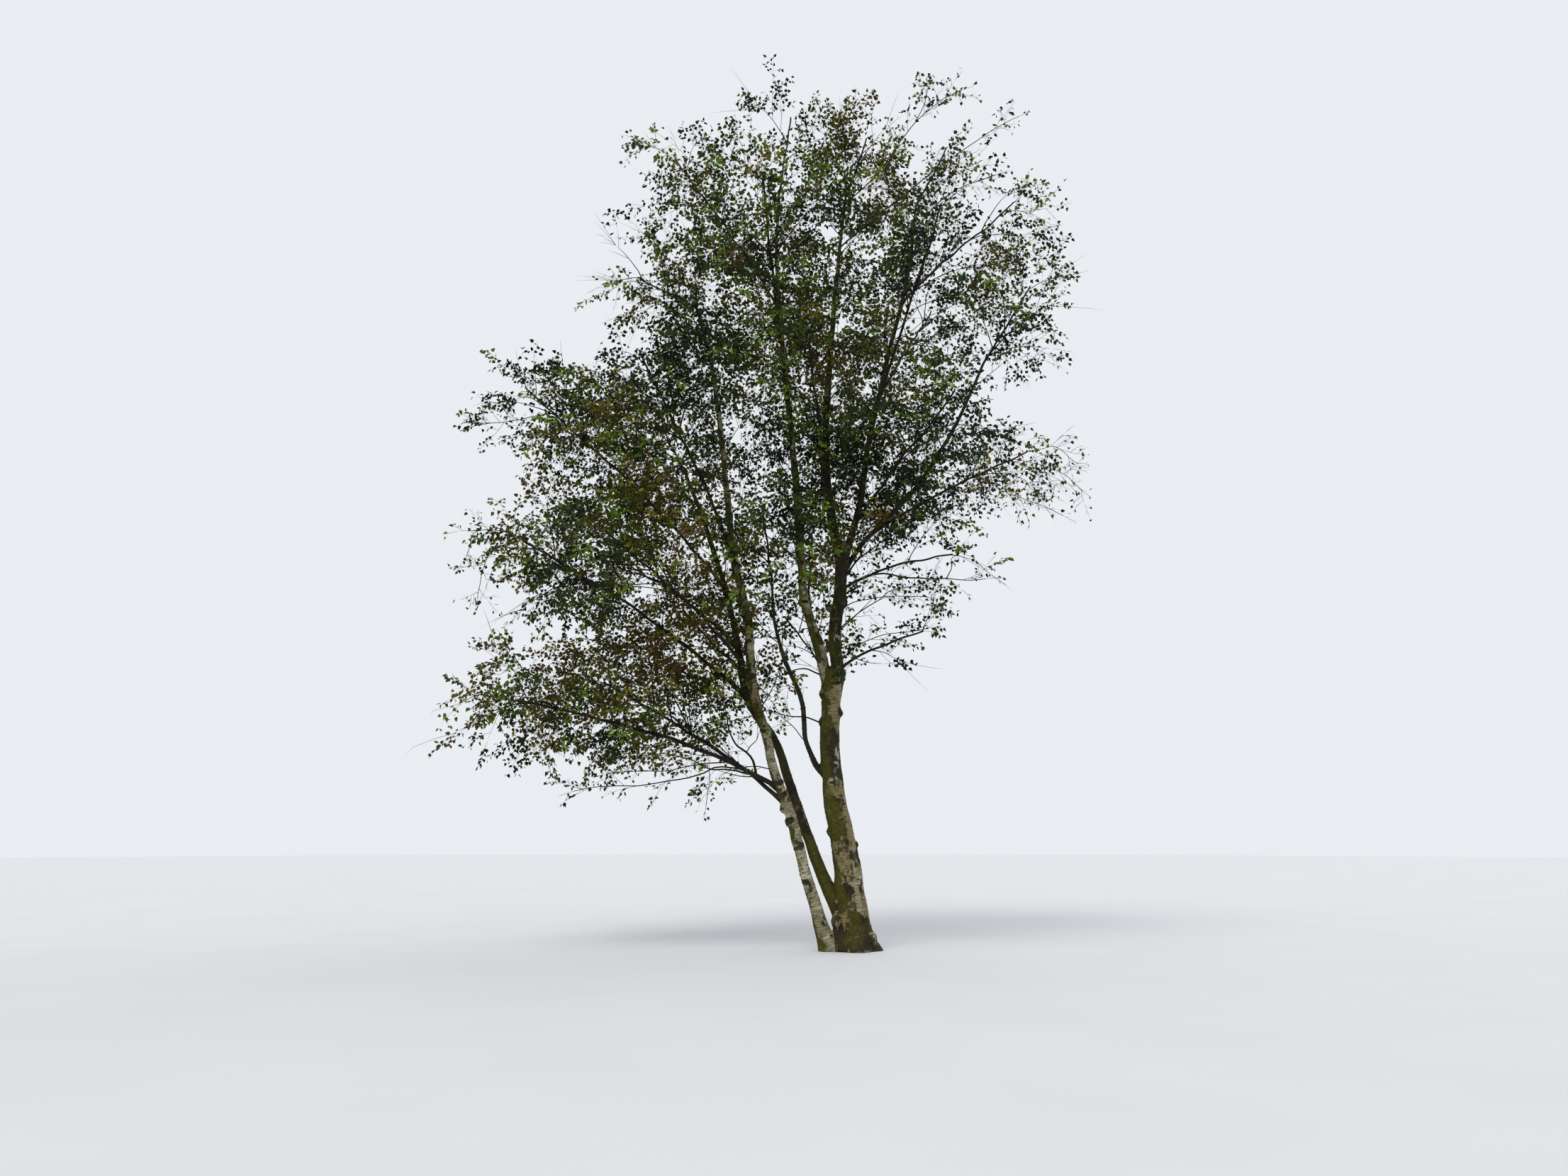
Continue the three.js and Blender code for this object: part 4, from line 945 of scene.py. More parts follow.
def girth_of(name, centre, angle):
    """How much wider than its round radius a stem is, by height and direction: foot flare and fork spread."""
    if name == "left_stem":
        return 1 + STEM_FLARE * math.exp(-max(0, centre[2]) / STEM_FLARE_HEIGHT)
    if name != "trunk":
        return 1.0
    foot = FLARE + BUTTRESS_DEPTH * math.cos(BUTTRESSES * angle + BUTTRESS_TURN)
    fork = float(smoothstep(centre[2], FORK_START, FORK_HEIGHT)) * FORK_SPREAD * math.cos(angle) ** 2
    return (1 + math.exp(-max(0, centre[2]) / FLARE_HEIGHT) * foot) * (1 + fork)


def tube_along(bm, points, radii, sides, girth=lambda _, angle: 1.0):
    """A closed tube: a ring moved and extruded from point to point."""
    frames = frames_along(points)
    matrices = []
    for point, (tangent, across, over) in zip(points, frames):
        matrix = Matrix((across, over, tangent)).transposed().to_4x4()
        matrix.translation = point
        matrices.append(matrix)
    ring = bmesh.ops.create_circle(bm, cap_ends=True, segments=sides, radius=1.0, matrix=matrices[0])["verts"]
    bmesh.ops.reverse_faces(bm, faces=list(ring[0].link_faces))
    edges = list({edge for vert in ring for edge in vert.link_edges})
    _, across, over = frames[0]
    spokes = [v.co - Vector(points[0]) for v in ring]
    turned = [math.atan2(spoke.dot(over), spoke.dot(across)) for spoke in spokes]
    for k, (point, radius) in enumerate(zip(points, radii)):
        if k:
            made = bmesh.ops.extrude_edge_only(bm, edges=edges)["geom"]
            ring = [g for g in made if isinstance(g, bmesh.types.BMVert)]
            edges = [g for g in made if isinstance(g, bmesh.types.BMEdge)]
            back = matrices[k - 1].inverted()
            turned = [math.atan2(p.y, p.x) for p in (back @ v.co for v in ring)]
        for vert, angle in zip(ring, turned):
            reach = radius * girth(point, angle)
            vert.co = matrices[k] @ Vector((reach * math.cos(angle), reach * math.sin(angle), 0))
    bmesh.ops.contextual_create(bm, geom=edges)


def stem_points(curve, low, high, step):
    """Points and radii along a stem between two heights."""
    first, last = curve.at_height(low), curve.at_height(high)
    length = np.linalg.norm(curve.point(last) - curve.point(first))
    shares = np.linspace(first, last, max(3, round(length / step)))
    return np.array([curve.point(t) for t in shares]), np.array([curve.radius(t) for t in shares])


def remeshed(bm, voxel):
    """The bmesh's closed shapes fused into one skin of even faces."""
    mesh = mesh_of(bm, "skin")
    shell = bpy.data.objects.new("skin", mesh)
    bpy.context.collection.objects.link(shell)
    remesh = shell.modifiers.new("skin", "REMESH")
    remesh.mode, remesh.voxel_size, remesh.adaptivity = "VOXEL", voxel, 0.0
    fused = bpy.data.meshes.new_from_object(shell.evaluated_get(bpy.context.evaluated_depsgraph_get()))
    bpy.data.objects.remove(shell)
    bpy.data.meshes.remove(mesh)
    return fused


def nearest_stems(stems, names, points):
    """For each point, the stem it belongs to, its place with that stem pulled straight, and its side."""
    owner = np.zeros(len(points), int)
    least = np.full(len(points), np.inf)
    straight, side = np.zeros((len(points), 3)), np.zeros((len(points), 3))
    for number, name in enumerate(names):
        centres, radii = stem_points(stems[name], *ALL_HEIGHTS, FINE_STEP)
        frames = frames_along(centres)
        along = np.concatenate([[0], np.cumsum(np.linalg.norm(np.diff(centres, axis=0), axis=1))])
        tree = kdtree.KDTree(len(centres))
        for i, centre in enumerate(centres):
            tree.insert(centre, i)
        tree.balance()
        found = np.array([tree.find(p)[1] for p in points])
        off = points - centres[found]
        away = np.linalg.norm(off, axis=1) / radii[found]
        mine = away < least
        least[mine], owner[mine] = away[mine], number
        tangent, across, over = (np.array([f[k] for f in frames])[found] for k in range(3))
        place = np.stack([(off * across).sum(1), (off * over).sum(1), along[found] + (off * tangent).sum(1)], 1)
        straight[mine] = place[mine] + [number * STEMS_APART, 0, 0]
        side[mine] = unit(off)[mine]
    return owner, straight, side


def roughened(points, normals, straight, scars, relief):
    """The bark's relief: long lumps, plates low down, wrinkles across, and scars with raised rims."""
    out = np.interp(scars, *SCAR_PROFILE)
    for i, (p, s) in enumerate(zip(points, straight)):
        low = math.exp(-max(0, p[2]) / ROUGH_HEIGHT)
        lump = noise_at(s * LUMPS) * (LUMP_SIZE + FOOT_LUMP_SIZE * low)
        plate = (1 - abs(noise_at(s * PLATES)) - PLATE_EDGE) * PLATE_SIZE * low
        out[i] += lump + plate + noise_at(s * WRINKLES) * WRINKLE_SIZE
    return points + normals * (out * relief)[:, None]


def scarred(stems, points):
    """How deep each point lies in a dark scar, from 0 at its rim to 1: the listed ones, and small ones all round."""
    scars = [(name, *scar) for name, listed in SCARS.items() for scar in listed]
    for seed, name in enumerate(BARK_ZONES):
        low, high = stems[name].points[[0, -1], 2]
        for k in range(int((min(high, SCAR_TOP) - low) / SCAR_GAP)):
            width = lerp(*SCAR_WIDTHS, draw(seed, k, 1) ** 2) * (TRUNK_SCARS if name == "trunk" else 1)
            shape = (width, width * lerp(*SCAR_FLATNESS, draw(seed, k, 2)), draw(seed, k, 3) - 0.5)
            scars.append((name, low + SCAR_GAP * (k + draw(seed, k)), 360 * draw(seed, k, 4), *shape))
    depth = np.zeros(len(points))
    for name, height, degrees, width, tall, slant in scars:
        curve, angle = stems[name], math.radians(degrees)
        t = curve.at_height(height)
        out = np.array([math.cos(angle), math.sin(angle), 0])
        off = points - curve.point(t) - out * curve.radius(t) * girth_of(name, curve.point(t), angle)
        across = off @ np.array([-math.sin(angle), math.cos(angle), 0])
        up = off[:, 2] + slant * across
        away = np.sqrt((across / width) ** 2 + (up / tall) ** 2 + (off @ out / SCAR_DEPTH) ** 2)
        depth = np.maximum(depth, 1 - away)
    return depth


def read_vertices(mesh, field):
    values = np.empty(len(mesh.vertices) * 3, np.float32)
    mesh.vertices.foreach_get(field, values)
    return values.reshape(-1, 3).astype(float)


def add_attribute(mesh, name, kind, values):
    field = "value" if kind == "FLOAT" else "vector"
    mesh.attributes.new(name, kind, "POINT").data.foreach_set(field, flat_floats(values))


def dress_in_bark(mesh, names, relief):
    """Roughens a mesh of stems, where it gets relief, and stores where its bark is pale, mossy or brown."""
    points, normals = read_vertices(mesh, "co"), read_vertices(mesh, "normal")
    height = points[:, 2].copy()
    owner, straight, side = nearest_stems(grown().stems, names, points)
    scars = scarred(grown().stems, points)
    if relief:
        points = roughened(points, normals, straight, scars, relief)
        points[:, 2] = np.maximum(points[:, 2], 0)
        points[height < GROUND_EDGE, 2] = 0
        mesh.vertices.foreach_set("co", flat_floats(points))
        mesh.update()
    zones = np.zeros((len(points), 3))
    for number, name in enumerate(names):
        mine = owner == number
        table = np.array(BARK_ZONES[name])
        for k in range(3):
            zones[mine, k] = np.interp(height[mine], table[:, 0], table[:, k + 1])
    # The side change: paler on the right, which is painted light, and darker, browner and mossier on the left, which
    # is painted shade beside the algae's film. Its edge wanders.
    wander = np.array([noise_at(p * WANDER_BENDS) for p in straight])
    dry_and_painted_light = side[:, 0] * DRY_AND_PAINTED_LIGHT_SIDE[0] + side[:, 1] * DRY_AND_PAINTED_LIGHT_SIDE[1] + wander * WANDER
    zones += dry_and_painted_light[:, None] * DRY_AND_PAINTED_LIGHT_CHANGE
    add_attribute(mesh, "bark_scar", "FLOAT", scars)
    add_attribute(mesh, "bark_place", "FLOAT_VECTOR", straight)
    add_attribute(mesh, "bark_zone", "FLOAT_VECTOR", np.clip(zones, 0, MOST_ZONE))
    shade_smooth(mesh)


def stem_bark(colours):
    # Birch bark, grown: a papery white outer skin that peels in thin sheets across the stem, with dark corky pores
    # as lines across it, and where it's old or split, rough near-black plates. A film of green algae and moss lies
    # on the damp side. To the eye: matt chalky grey-white, dark dashes and diamonds, olive stain.
    m, node = new_material("birch_bark")
    place = node("Attribute", {"attribute_name": "bark_place"}).node.outputs["Vector"]
    zone = node("Attribute", {"attribute_name": "bark_zone"}).node.outputs["Vector"]
    scar = node("Attribute", {"attribute_name": "bark_scar"}).node.outputs["Fac"]
    # Paleness, moss and brown also carry painted light and shade: paler bark on the right of each stem, and darker,
    # browner bark with wider dark plates on its left.
    pale, moss, brown = node("SeparateXYZ", Vector=zone).node.outputs
    rgb, smooth = {"data_type": "RGBA"}, {"interpolation_type": "SMOOTHSTEP"}
    add, times, lessened = {"operation": "ADD"}, {"operation": "MULTIPLY"}, {"operation": "MULTIPLY_ADD"}
    # Flat places draw marks across the stem, a seventh as high as wide, and tall ones draw runs down it.
    flat = node("Mapping", Vector=place, Scale=(1, 1, 7))
    tall = node("Mapping", Vector=place, Scale=(1, 1, 0.55), Location=(0, 7, 5))
    # The papery skin: mottled over a hand's length, and streaked across by its thin sheets, about 16 mm apart and
    # so drawn coarser than life to show.
    cloud = node("TexNoise", Vector=place, Scale=per_metre(142.857), Detail=4.0)
    streak = node("TexNoise", Vector=flat, Scale=per_metre(111.111), Detail=5.0, Roughness=0.6)
    shade = node("Mix", i0=0.5, i2=cloud, i3=streak)
    stops = [(0.38, linear(colours.grey_skin)), (0.5, linear(colours.pale_skin)), (0.62, linear(colours.chalk))]
    skin = node("ValToRGB", {"stops": stops}, Fac=shade)
    # Rust-brown stain, in runs 200 mm wide.
    run = node("TexNoise", Vector=tall, Scale=per_metre(200), Detail=3.0)
    stain = node("Math", add, i0=run, i1=brown)
    stain = node("MapRange", smooth, Value=stain, From_Min=0.72, From_Max=1.1, To_Max=0.75)
    colour = node("Mix", rgb, i0=stain, i6=skin, i7=linear(colours.rust))
    # Corky pores: dark dashes across, 5 mm high and 20 to 60 mm long, drawn a little coarser than life to show.
    dash = node("TexNoise", Vector=flat, Scale=per_metre(76.923), Detail=3.0, Roughness=0.5)
    pores = node("MapRange", smooth, Value=dash, From_Min=0.57, From_Max=0.63, To_Max=0.85)
    colour = node("Mix", rgb, i0=pores, i6=colour, i7=linear(colours.pore))
    # Dark rough plates and diamonds, 110 mm across and twice as high, wider where the bark isn't pale, and the scars,
    # ragged over 40 mm.
    split = node("TexNoise", Vector=tall, Scale=per_metre(111.111), Detail=5.0, Roughness=0.62)
    ragged = node("TexNoise", Vector=place, Scale=per_metre(41.6667), Detail=4.0, Roughness=0.6)
    scar = node("Math", lessened, i0=ragged, i1=0.7, i2=scar)
    scar = node("MapRange", smooth, Value=scar, From_Min=0.5, From_Max=0.66, To_Max=0.25)
    split = node("Math", lessened, i0=pale, i1=-0.42, i2=split)
    split = node("Math", add, i0=split, i1=scar)
    rough = node("MapRange", smooth, Value=split, From_Min=0.2, From_Max=0.3, To_Max=0.94)
    crust = node("TexNoise", Vector=place, Scale=per_metre(26.3158), Detail=5.0)
    stops = [(0.35, linear(colours.plate)), (0.7, linear(colours.dark_bark))]
    crust_colour = node("ValToRGB", {"stops": stops}, Fac=crust)
    colour = node("Mix", rgb, i0=rough, i6=colour, i7=crust_colour)
    # Moss and algae, in films that follow damp runs down the stem, 220 mm wide, with tufts of about 48 mm.
    damp = node("TexNoise", Vector=tall, Scale=per_metre(222.222), Detail=5.0, Roughness=0.6)
    film = node("Math", lessened, i0=damp, i1=2.6, i2=moss)
    green = node("MapRange", smooth, Value=film, From_Min=1.55, From_Max=2.1, To_Max=0.8)
    stops = [(0.28, linear(colours.deep_moss)), (0.76, linear(colours.moss))]
    tuft = node("TexNoise", Vector=place, Scale=per_metre(47.619), Detail=7.0, Roughness=0.75)
    moss_colour = node("ValToRGB", {"stops": stops}, Fac=tuft)
    colour = node("Mix", rgb, i0=green, i6=colour, i7=moss_colour)
    # Relief: the plates' crust stands 3 mm proud, the pores are ridges under 2 mm, and the sheets' edges are finer.
    height = node("Math", times, i0=rough, i1=crust)
    height = node("Math", lessened, i0=pores, i1=0.3, i2=height)
    height = node("Math", lessened, i0=streak, i1=0.25, i2=height)
    bump = node("Bump", Height=height, Distance=0.006, Strength=0.8)
    return finish_material(m, colour, 0.88, 0.12, bump)


def branch_bark(name, light, dark, patches):
    # Young birch bark, grown: thin, smooth and tight, red-brown on twigs and darker on boughs, with grey-green
    # algae on top. To the eye: dark brown with a dull satin gloss and grey-olive patches.
    m, node = new_material(name)
    place = node("TexCoord").node.outputs["Object"]
    patch = node("TexNoise", Vector=place, Scale=per_metre(patches), Detail=4.0, Roughness=0.6)
    colour = node("ValToRGB", {"stops": [(0.35, linear(dark)), (0.62, linear(light))]}, Fac=patch)
    # Pores, about 6 mm apart.
    grain = node("TexNoise", Vector=place, Scale=per_metre(6.25), Detail=2.0)
    bump = node("Bump", Height=grain, Distance=0.002, Strength=0.5)
    return finish_material(m, colour, 0.75, 0.15, bump)


def leaf_blade(name, colour):
    # Birch leaf, grown: a thin waxy blade, semi-matt above and duller below, that yellows unevenly in autumn. To the
    # eye: a soft gloss over one tint, a little lighter and darker from spray to spray. Painted light and painted shade
    # also make it much lighter and darker from leaf to leaf, for leaves turned to and from the light.
    m, node = new_material(name)
    place = node("TexCoord").node.outputs["Object"]
    # Whole sprays differ in tone, over about 250 mm, and single leaves, over about 40 mm. The spread from under half
    # to nearly twice the tint is partly the sprays' own tone and partly painted light and painted shade. Leaf by leaf
    # it is painted light and shade.
    patch = node("TexNoise", Vector=place, Scale=per_metre(250), Detail=2.0)
    leaf_painted_light_and_shade = node("TexNoise", Vector=place, Scale=per_metre(40), Detail=1.0)
    patch = node("Mix", i0=0.6, i2=patch, i3=leaf_painted_light_and_shade)
    # The darkest and lightest stops are painted shade and painted light for leaves turned from and to the light.
    tone = node("ValToRGB", {"stops": list(zip((0.36, 0.5, 0.66), shades(colour, (0.45, 0.9, 1.7))))}, Fac=patch)
    return finish_material(m, tone, 0.6, 0.12)


def studio_paper(colour):
    # Studio paper, rolled: matt and even, near white.
    m, node = new_material("studio_paper")
    place = node("TexCoord").node.outputs["Object"]
    patch = node("TexNoise", Vector=place, Scale=per_metre(1666.67), Detail=2.0)
    tone = node("ValToRGB", {"stops": list(zip((0.3, 0.7), shades(colour, (0.97, 1.0))))}, Fac=patch)
    return finish_material(m, tone, 0.9, 0.5)


# The leaves' tints: name, sRGB colour, and share of the sprays. Tints lie round the tree in drifts, with strays.
TINTS = [
    ("deep_green", "#122209", 0.21),
    ("grey_green", "#363F1B", 0.07),
    ("mid_green", "#2C3A0C", 0.29),
    ("fresh_green", "#587018", 0.13),
    ("olive", "#4A460F", 0.2),
    ("yellow_olive", "#6C641E", 0.06),
    ("russet", "#4B391C", 0.04),
]
BROAD_DRIFT, NARROW_DRIFT = (0.8, 0.75), (0.55, 2.2)
TINT_OFFSET, TINT_STRAYS = Vector((3, 1, 8)), 0.17

# The studio: an even pale sky, two soft suns (strength, angle across and turn in degrees), a round floor, which
# lies a little below the foot, and the camera with the photograph's tilt in degrees, and its lens in millimetres.
SKY = (0.82, 0.845, 0.885)
SUN_COLOUR = (1.0, 0.98, 0.95)
SUNS = {"key": (1.6, 30, (38, 0, -28)), "fill": (0.5, 60, (55, 0, 120))}
FLOOR_RADIUS, FLOOR_DEPTH = 90, -0.002
CAMERA_TILT, LENS, SENSOR, FARTHEST = 102.5, 26, 36, 400

WOOD_NODES = [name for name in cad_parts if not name.startswith("foliage_")]
STEM_NODES = [name for name in WOOD_NODES if name in STEMS]
BOUGH_NODES = [name for name in WOOD_NODES if name not in STEMS]
FOLIAGE_NODES = [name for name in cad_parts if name.startswith("foliage_")]


def tint_drift(place):
    """How far autumn has come at a place, in broad drifts and narrow ones."""
    broad = BROAD_DRIFT[0] * noise.noise(Vector(place * BROAD_DRIFT[1]) + TINT_OFFSET)
    return broad + NARROW_DRIFT[0] * noise_at(place * NARROW_DRIFT[1])


def length_property(name, description, default, least, most):
    return bpy.props.FloatProperty(
        name=name, description=description, default=default, min=least, max=most, subtype="DISTANCE", unit="LENGTH"
    )


class BirchSizes(bpy.types.PropertyGroup):
    """Sizes of the tree's parts."""

    skin: length_property("Bark face", "Width of the faces of the lower stems' skin", 0.0122, 0.005, 0.05)
    relief: length_property("Bark relief", "How far the bark's lumps stand out", 0.016, 0, 0.05)
    branchlets: bpy.props.FloatProperty(
        name="Branchlets", description="Branchlets of a full mass with half-sizes of 1 m", default=19.0, min=4, max=60,
    )
    side_branch_gap: length_property("Side branch gap", "Distance between thin branches along stems", 0.26, 0.1, 2)
    leaf: length_property("Leaf length", "Length of a full leaf", 0.062, 0.02, 0.12)
    height: length_property("Full-skin height", "Height up to which the stems share one skin", 5.0, 3.6, 6)


def colour_property(name, description, value):
    return bpy.props.FloatVectorProperty(
        name=name, description=description, subtype="COLOR_GAMMA", size=3, min=0, max=1,
        default=[int(value[i : i + 2], 16) / 255 for i in (1, 3, 5)],
    )


class BirchColours(bpy.types.PropertyGroup):
    """Colours of the bark and the floor."""

    chalk: colour_property("Chalk", "The whitest of the papery bark", "#ABA78E")
    pale_skin: colour_property("Pale skin", "The papery bark", "#827D63")
    grey_skin: colour_property("Grey skin", "The papery bark's grey", "#615C42")
    pore: colour_property("Pore", "The dark dashes across the pale bark", "#241F15")
    plate: colour_property("Plate", "The darkest of the rough plates", "#12100B")
    dark_bark: colour_property("Dark bark", "The rough plates' lighter crust", "#2A2519")
    moss: colour_property("Moss", "The algae's and moss's light green", "#5A5A1E")
    deep_moss: colour_property("Deep moss", "The algae's and moss's dark green", "#27280B")
    rust: colour_property("Rust", "The brown stain", "#6E6139")
    bough: colour_property("Bough", "The boughs' bark", "#2B261C")
    twig: colour_property("Twig", "The twigs' bark", "#2B2019")
    floor: colour_property("Floor", "The studio floor", "#C9CACC")


def bisected_foot(bm):
    """Cuts the stems flat where they meet the ground, and closes them there."""
    geometry = [*bm.verts, *bm.edges, *bm.faces]
    bmesh.ops.bisect_plane(bm, geom=geometry, dist=1e-5, plane_co=(0, 0, 0), plane_no=(0, 0, 1), clear_inner=True)
    bmesh.ops.holes_fill(bm, edges=[e for e in bm.edges if e.is_boundary])


def add_knobs(bm, stems):
    """Sets a ball that is taller than wide at each knob, most of it standing out."""
    for name, knobs in KNOBS.items():
        curve = stems[name]
        for height, degrees, radius in knobs:
            t, angle = curve.at_height(height), math.radians(degrees)
            out = Vector((math.cos(angle), math.sin(angle), 0))
            girth = curve.radius(t) * girth_of(name, curve.point(t), angle)
            spot = Matrix.Translation(Vector(curve.point(t)) + out * (girth - radius * KNOB_SUNK))
            shape = spot @ Matrix.Diagonal((1, 1, KNOB_HEIGHT, 1))
            bmesh.ops.create_icosphere(bm, subdivisions=3, radius=radius, matrix=shape)


class BIRCH_OT_stems(bpy.types.Operator):
    """Makes the stems: one skin with the bark's relief low down, and plain tapering tubes above it"""

    bl_idname = "birch.stems"
    bl_label = "Make the stems"

    def execute(self, context):
        sizes = context.scene.birch_sizes
        stems = grown().stems
        lower, upper = bmesh.new(), bmesh.new()
        for name, curve in stems.items():
            foot, top = curve.points[0][2], curve.points[-1][2]
            points, radii = stem_points(curve, foot, min(top, sizes.height), LOWER_STEP)
            if foot == 0:
                # The stem runs on below the ground, so that it can be cut flat there.
                down = points[0] + (points[0] - points[1]) / np.linalg.norm(points[0] - points[1]) * BELOW_GROUND
                points, radii = np.vstack([down, points]), np.append(radii[0], radii)
            sides = TRUNK_SIDES if name == "trunk" else STEM_SIDES
            tube_along(lower, points, radii, sides, functools.partial(girth_of, name))
            if top > sizes.height:
                points, radii = stem_points(curve, max(foot, sizes.height - SKIN_OVERLAP), top, UPPER_STEP)
                tube_along(upper, points, radii * UPPER_GIRTH, UPPER_SIDES)
        add_knobs(lower, stems)
        skin = remeshed(lower, sizes.skin)
        bm = bmesh.new()
        bm.from_mesh(skin)
        axes = {"use_axis_x": True, "use_axis_y": True, "use_axis_z": True}
        for _ in range(SMOOTHINGS):
            bmesh.ops.smooth_vert(bm, verts=bm.verts, factor=SMOOTHING, **axes)
        bisected_foot(bm)
        bm.to_mesh(skin)
        bm.free()
        bark = stem_bark(context.scene.birch_colours)
        plain = mesh_of(upper, "stems_upper")
        for name, mesh, relief in (("stems_lower", skin, sizes.relief), ("stems_upper", plain, 0)):
            dress_in_bark(mesh, list(stems), relief)
            finish_mesh(name, mesh, bark, STEM_NODES)
        return {"FINISHED"}


class BIRCH_OT_boughs(bpy.types.Operator):
    """Makes the boughs and their run on through the masses, each one tapering tube"""

    bl_idname = "birch.boughs"
    bl_label = "Make the boughs"

    def execute(self, context):
        colours = context.scene.birch_colours
        bm = bmesh.new()
        for points, radii in grown().boughs:
            tube_along(bm, points, radii, BOUGH_SIDES)
        mesh = mesh_of(bm, "boughs")
        shade_smooth(mesh)
        bark = branch_bark("bough_bark", colours.bough, colours.plate, 111.111)
        finish_mesh("boughs", mesh, bark, BOUGH_NODES)
        return {"FINISHED"}


class SprayTemplates:
    """Leafy sprays of unit length, ahead along x with z up: shoots, and places and directions of the leaves."""

    def __init__(self):
        self.shoots, self.leaves = [], []
        for number in range(SPRAY_TEMPLATES):
            rng = np.random.default_rng(number + 1)
            wave = rng.uniform(-AXIS_WAVE, AXIS_WAVE, 2)
            axis = np.array([(0, 0, 0), (0.34, wave[0], 0.02), (0.68, wave[1], 0.0), (1, 0, -0.04)])
            shoots = [axis, *(self.side_shoot(rng, axis, k) for k in range(SIDE_SHOOTS))]
            spurs = (AXIS_SPURS, *[SIDE_SPURS] * SIDE_SHOOTS)
            self.shoots.append(shoots)
            self.leaves.append([leaf for pair in zip(shoots, spurs) for leaf in self.leaves_of(rng, *pair)])
        self.shoots, self.leaves = np.array(self.shoots), np.array(self.leaves)

    def side_shoot(self, rng, axis, k):
        """A shoot that leaves the axis left or right in turn, and sinks a little towards its end."""
        x = SHOOT_START + SHOOT_GAP * k + rng.uniform(-SHOOT_JITTER, SHOOT_JITTER)
        side = 1 if k % 2 else -1
        angle = math.radians(rng.uniform(*SHOOT_ANGLES))
        start = on_line(x, axis[:, 0], axis)
        ahead = np.array([math.cos(angle), side * math.sin(angle), rng.uniform(*SHOOT_LIFT)])
        length = rng.uniform(*SHOOT_LENGTHS) * (1.15 - SHOOT_SHORTENING * x)
        return np.array([start + ahead * length * s - UP * SHOOT_SAG * length * s * s for s in SHOOT_STEPS])

    def leaves_of(self, rng, shoot, spurs):
        """The leaves on a shoot's spurs: place, direction and the way each faces."""
        ahead = unit(shoot[-1] - shoot[0])
        for s in spurs:
            spot = on_line(s, SHOOT_STEPS, shoot)
            side = square_to(ahead, rng.uniform(0, FULL_TURN))
            for n in range(SPUR_LEAVES):
                aside = side * rng.uniform(*LEAF_ASIDE) * (-1) ** n
                out = unit(ahead * LEAF_AHEAD + aside + rng.normal(0, AHEAD_STRAY, 3))
                face = unit(UP + rng.normal(0, FACE_STRAY, 3))
                yield np.concatenate([spot + rng.normal(0, PLACE_STRAY, 3), out, face])


def placed_sprays():
    """The sprays as arrays: place, turn, length, sag, how bare, autumn, and template."""
    sprays = np.array(grown().sprays)
    place, along = sprays[:, 0:3], sprays[:, 3:6]
    length, sag, fallen, chance, autumn = sprays[:, 6:].T
    reference = np.where(np.abs(along[:, 2:]) < 0.85, UP, SIDEWAYS)
    across = unit(np.cross(reference, along))
    over = np.cross(along, across)
    roll = (chance * END_DIGITS % 1 - 0.5) * ROLL
    y = across * np.cos(roll)[:, None] + over * np.sin(roll)[:, None]
    turn = np.stack([along, y, np.cross(along, y)], 1)
    return place, turn, length, sag, fallen, autumn, (chance * SPRAY_TEMPLATES).astype(int)


def turned(vectors, turn):
    """Each spray's vectors (n, k, 3), turned with their spray."""
    return np.einsum("nkj,njc->nkc", vectors, turn)


def hung(points, place, sag):
    """Sinks points by the square of their distance from their spray's start, sideways."""
    off = points - place
    points[..., 2] -= (HANG + HANG_BY_SAG * sag) * (off[..., :2] ** 2).sum(-1)
    return points


def box_within():
    """The CAD box, a little grown, that every leaf and twig stays in."""
    low, high = np.array(CAD_BOX, float)
    room = (high - low) * BOX_ROOM
    return low - room, high + room


class BIRCH_OT_twigs(bpy.types.Operator):
    """Makes the branchlets and twigs, and the shoots of the leafy sprays"""

    bl_idname = "birch.twigs"
    bl_label = "Make the twigs"

    def execute(self, context):
        colours = context.scene.birch_colours
        bark = branch_bark("twig_bark", colours.twig, colours.plate, 200)
        low, high = box_within()
        drawn = []
        for name, lines in (("branchlets", grown().branchlets), ("twigs", grown().twigs)):
            points, radii = (np.array([line[part] for line in lines]) for part in (0, 1))
            drawn.append((name, np.clip(points, low + 0.01, high - 0.01), radii))
        place, turn, length, sag, _, _, template = placed_sprays()
        shoots = SprayTemplates().shoots[template] * length[:, None, None, None]
        points = np.einsum("nskj,njc->nskc", shoots, turn) + place[:, None, None]
        points = hung(points, place[:, None, None], sag[:, None, None])
        axes, sides = points[:, 0, (0, 2, 3)], points[:, 1:, (0, 3)].reshape(-1, 2, 3)
        for name, lines, girth in (("spray_axes", axes, AXIS_RADII), ("shoots", sides, SHOOT_RADII)):
            lines = lines[((lines > low) & (lines < high)).all((1, 2))]
            drawn.append((name, lines, np.tile(girth, (len(lines), 1))))
        for name, points, radii in drawn:
            finish_mesh(name, joined_mesh(name, *thin_tubes(points, radii), True), bark, FOLIAGE_NODES)
        return {"FINISHED"}


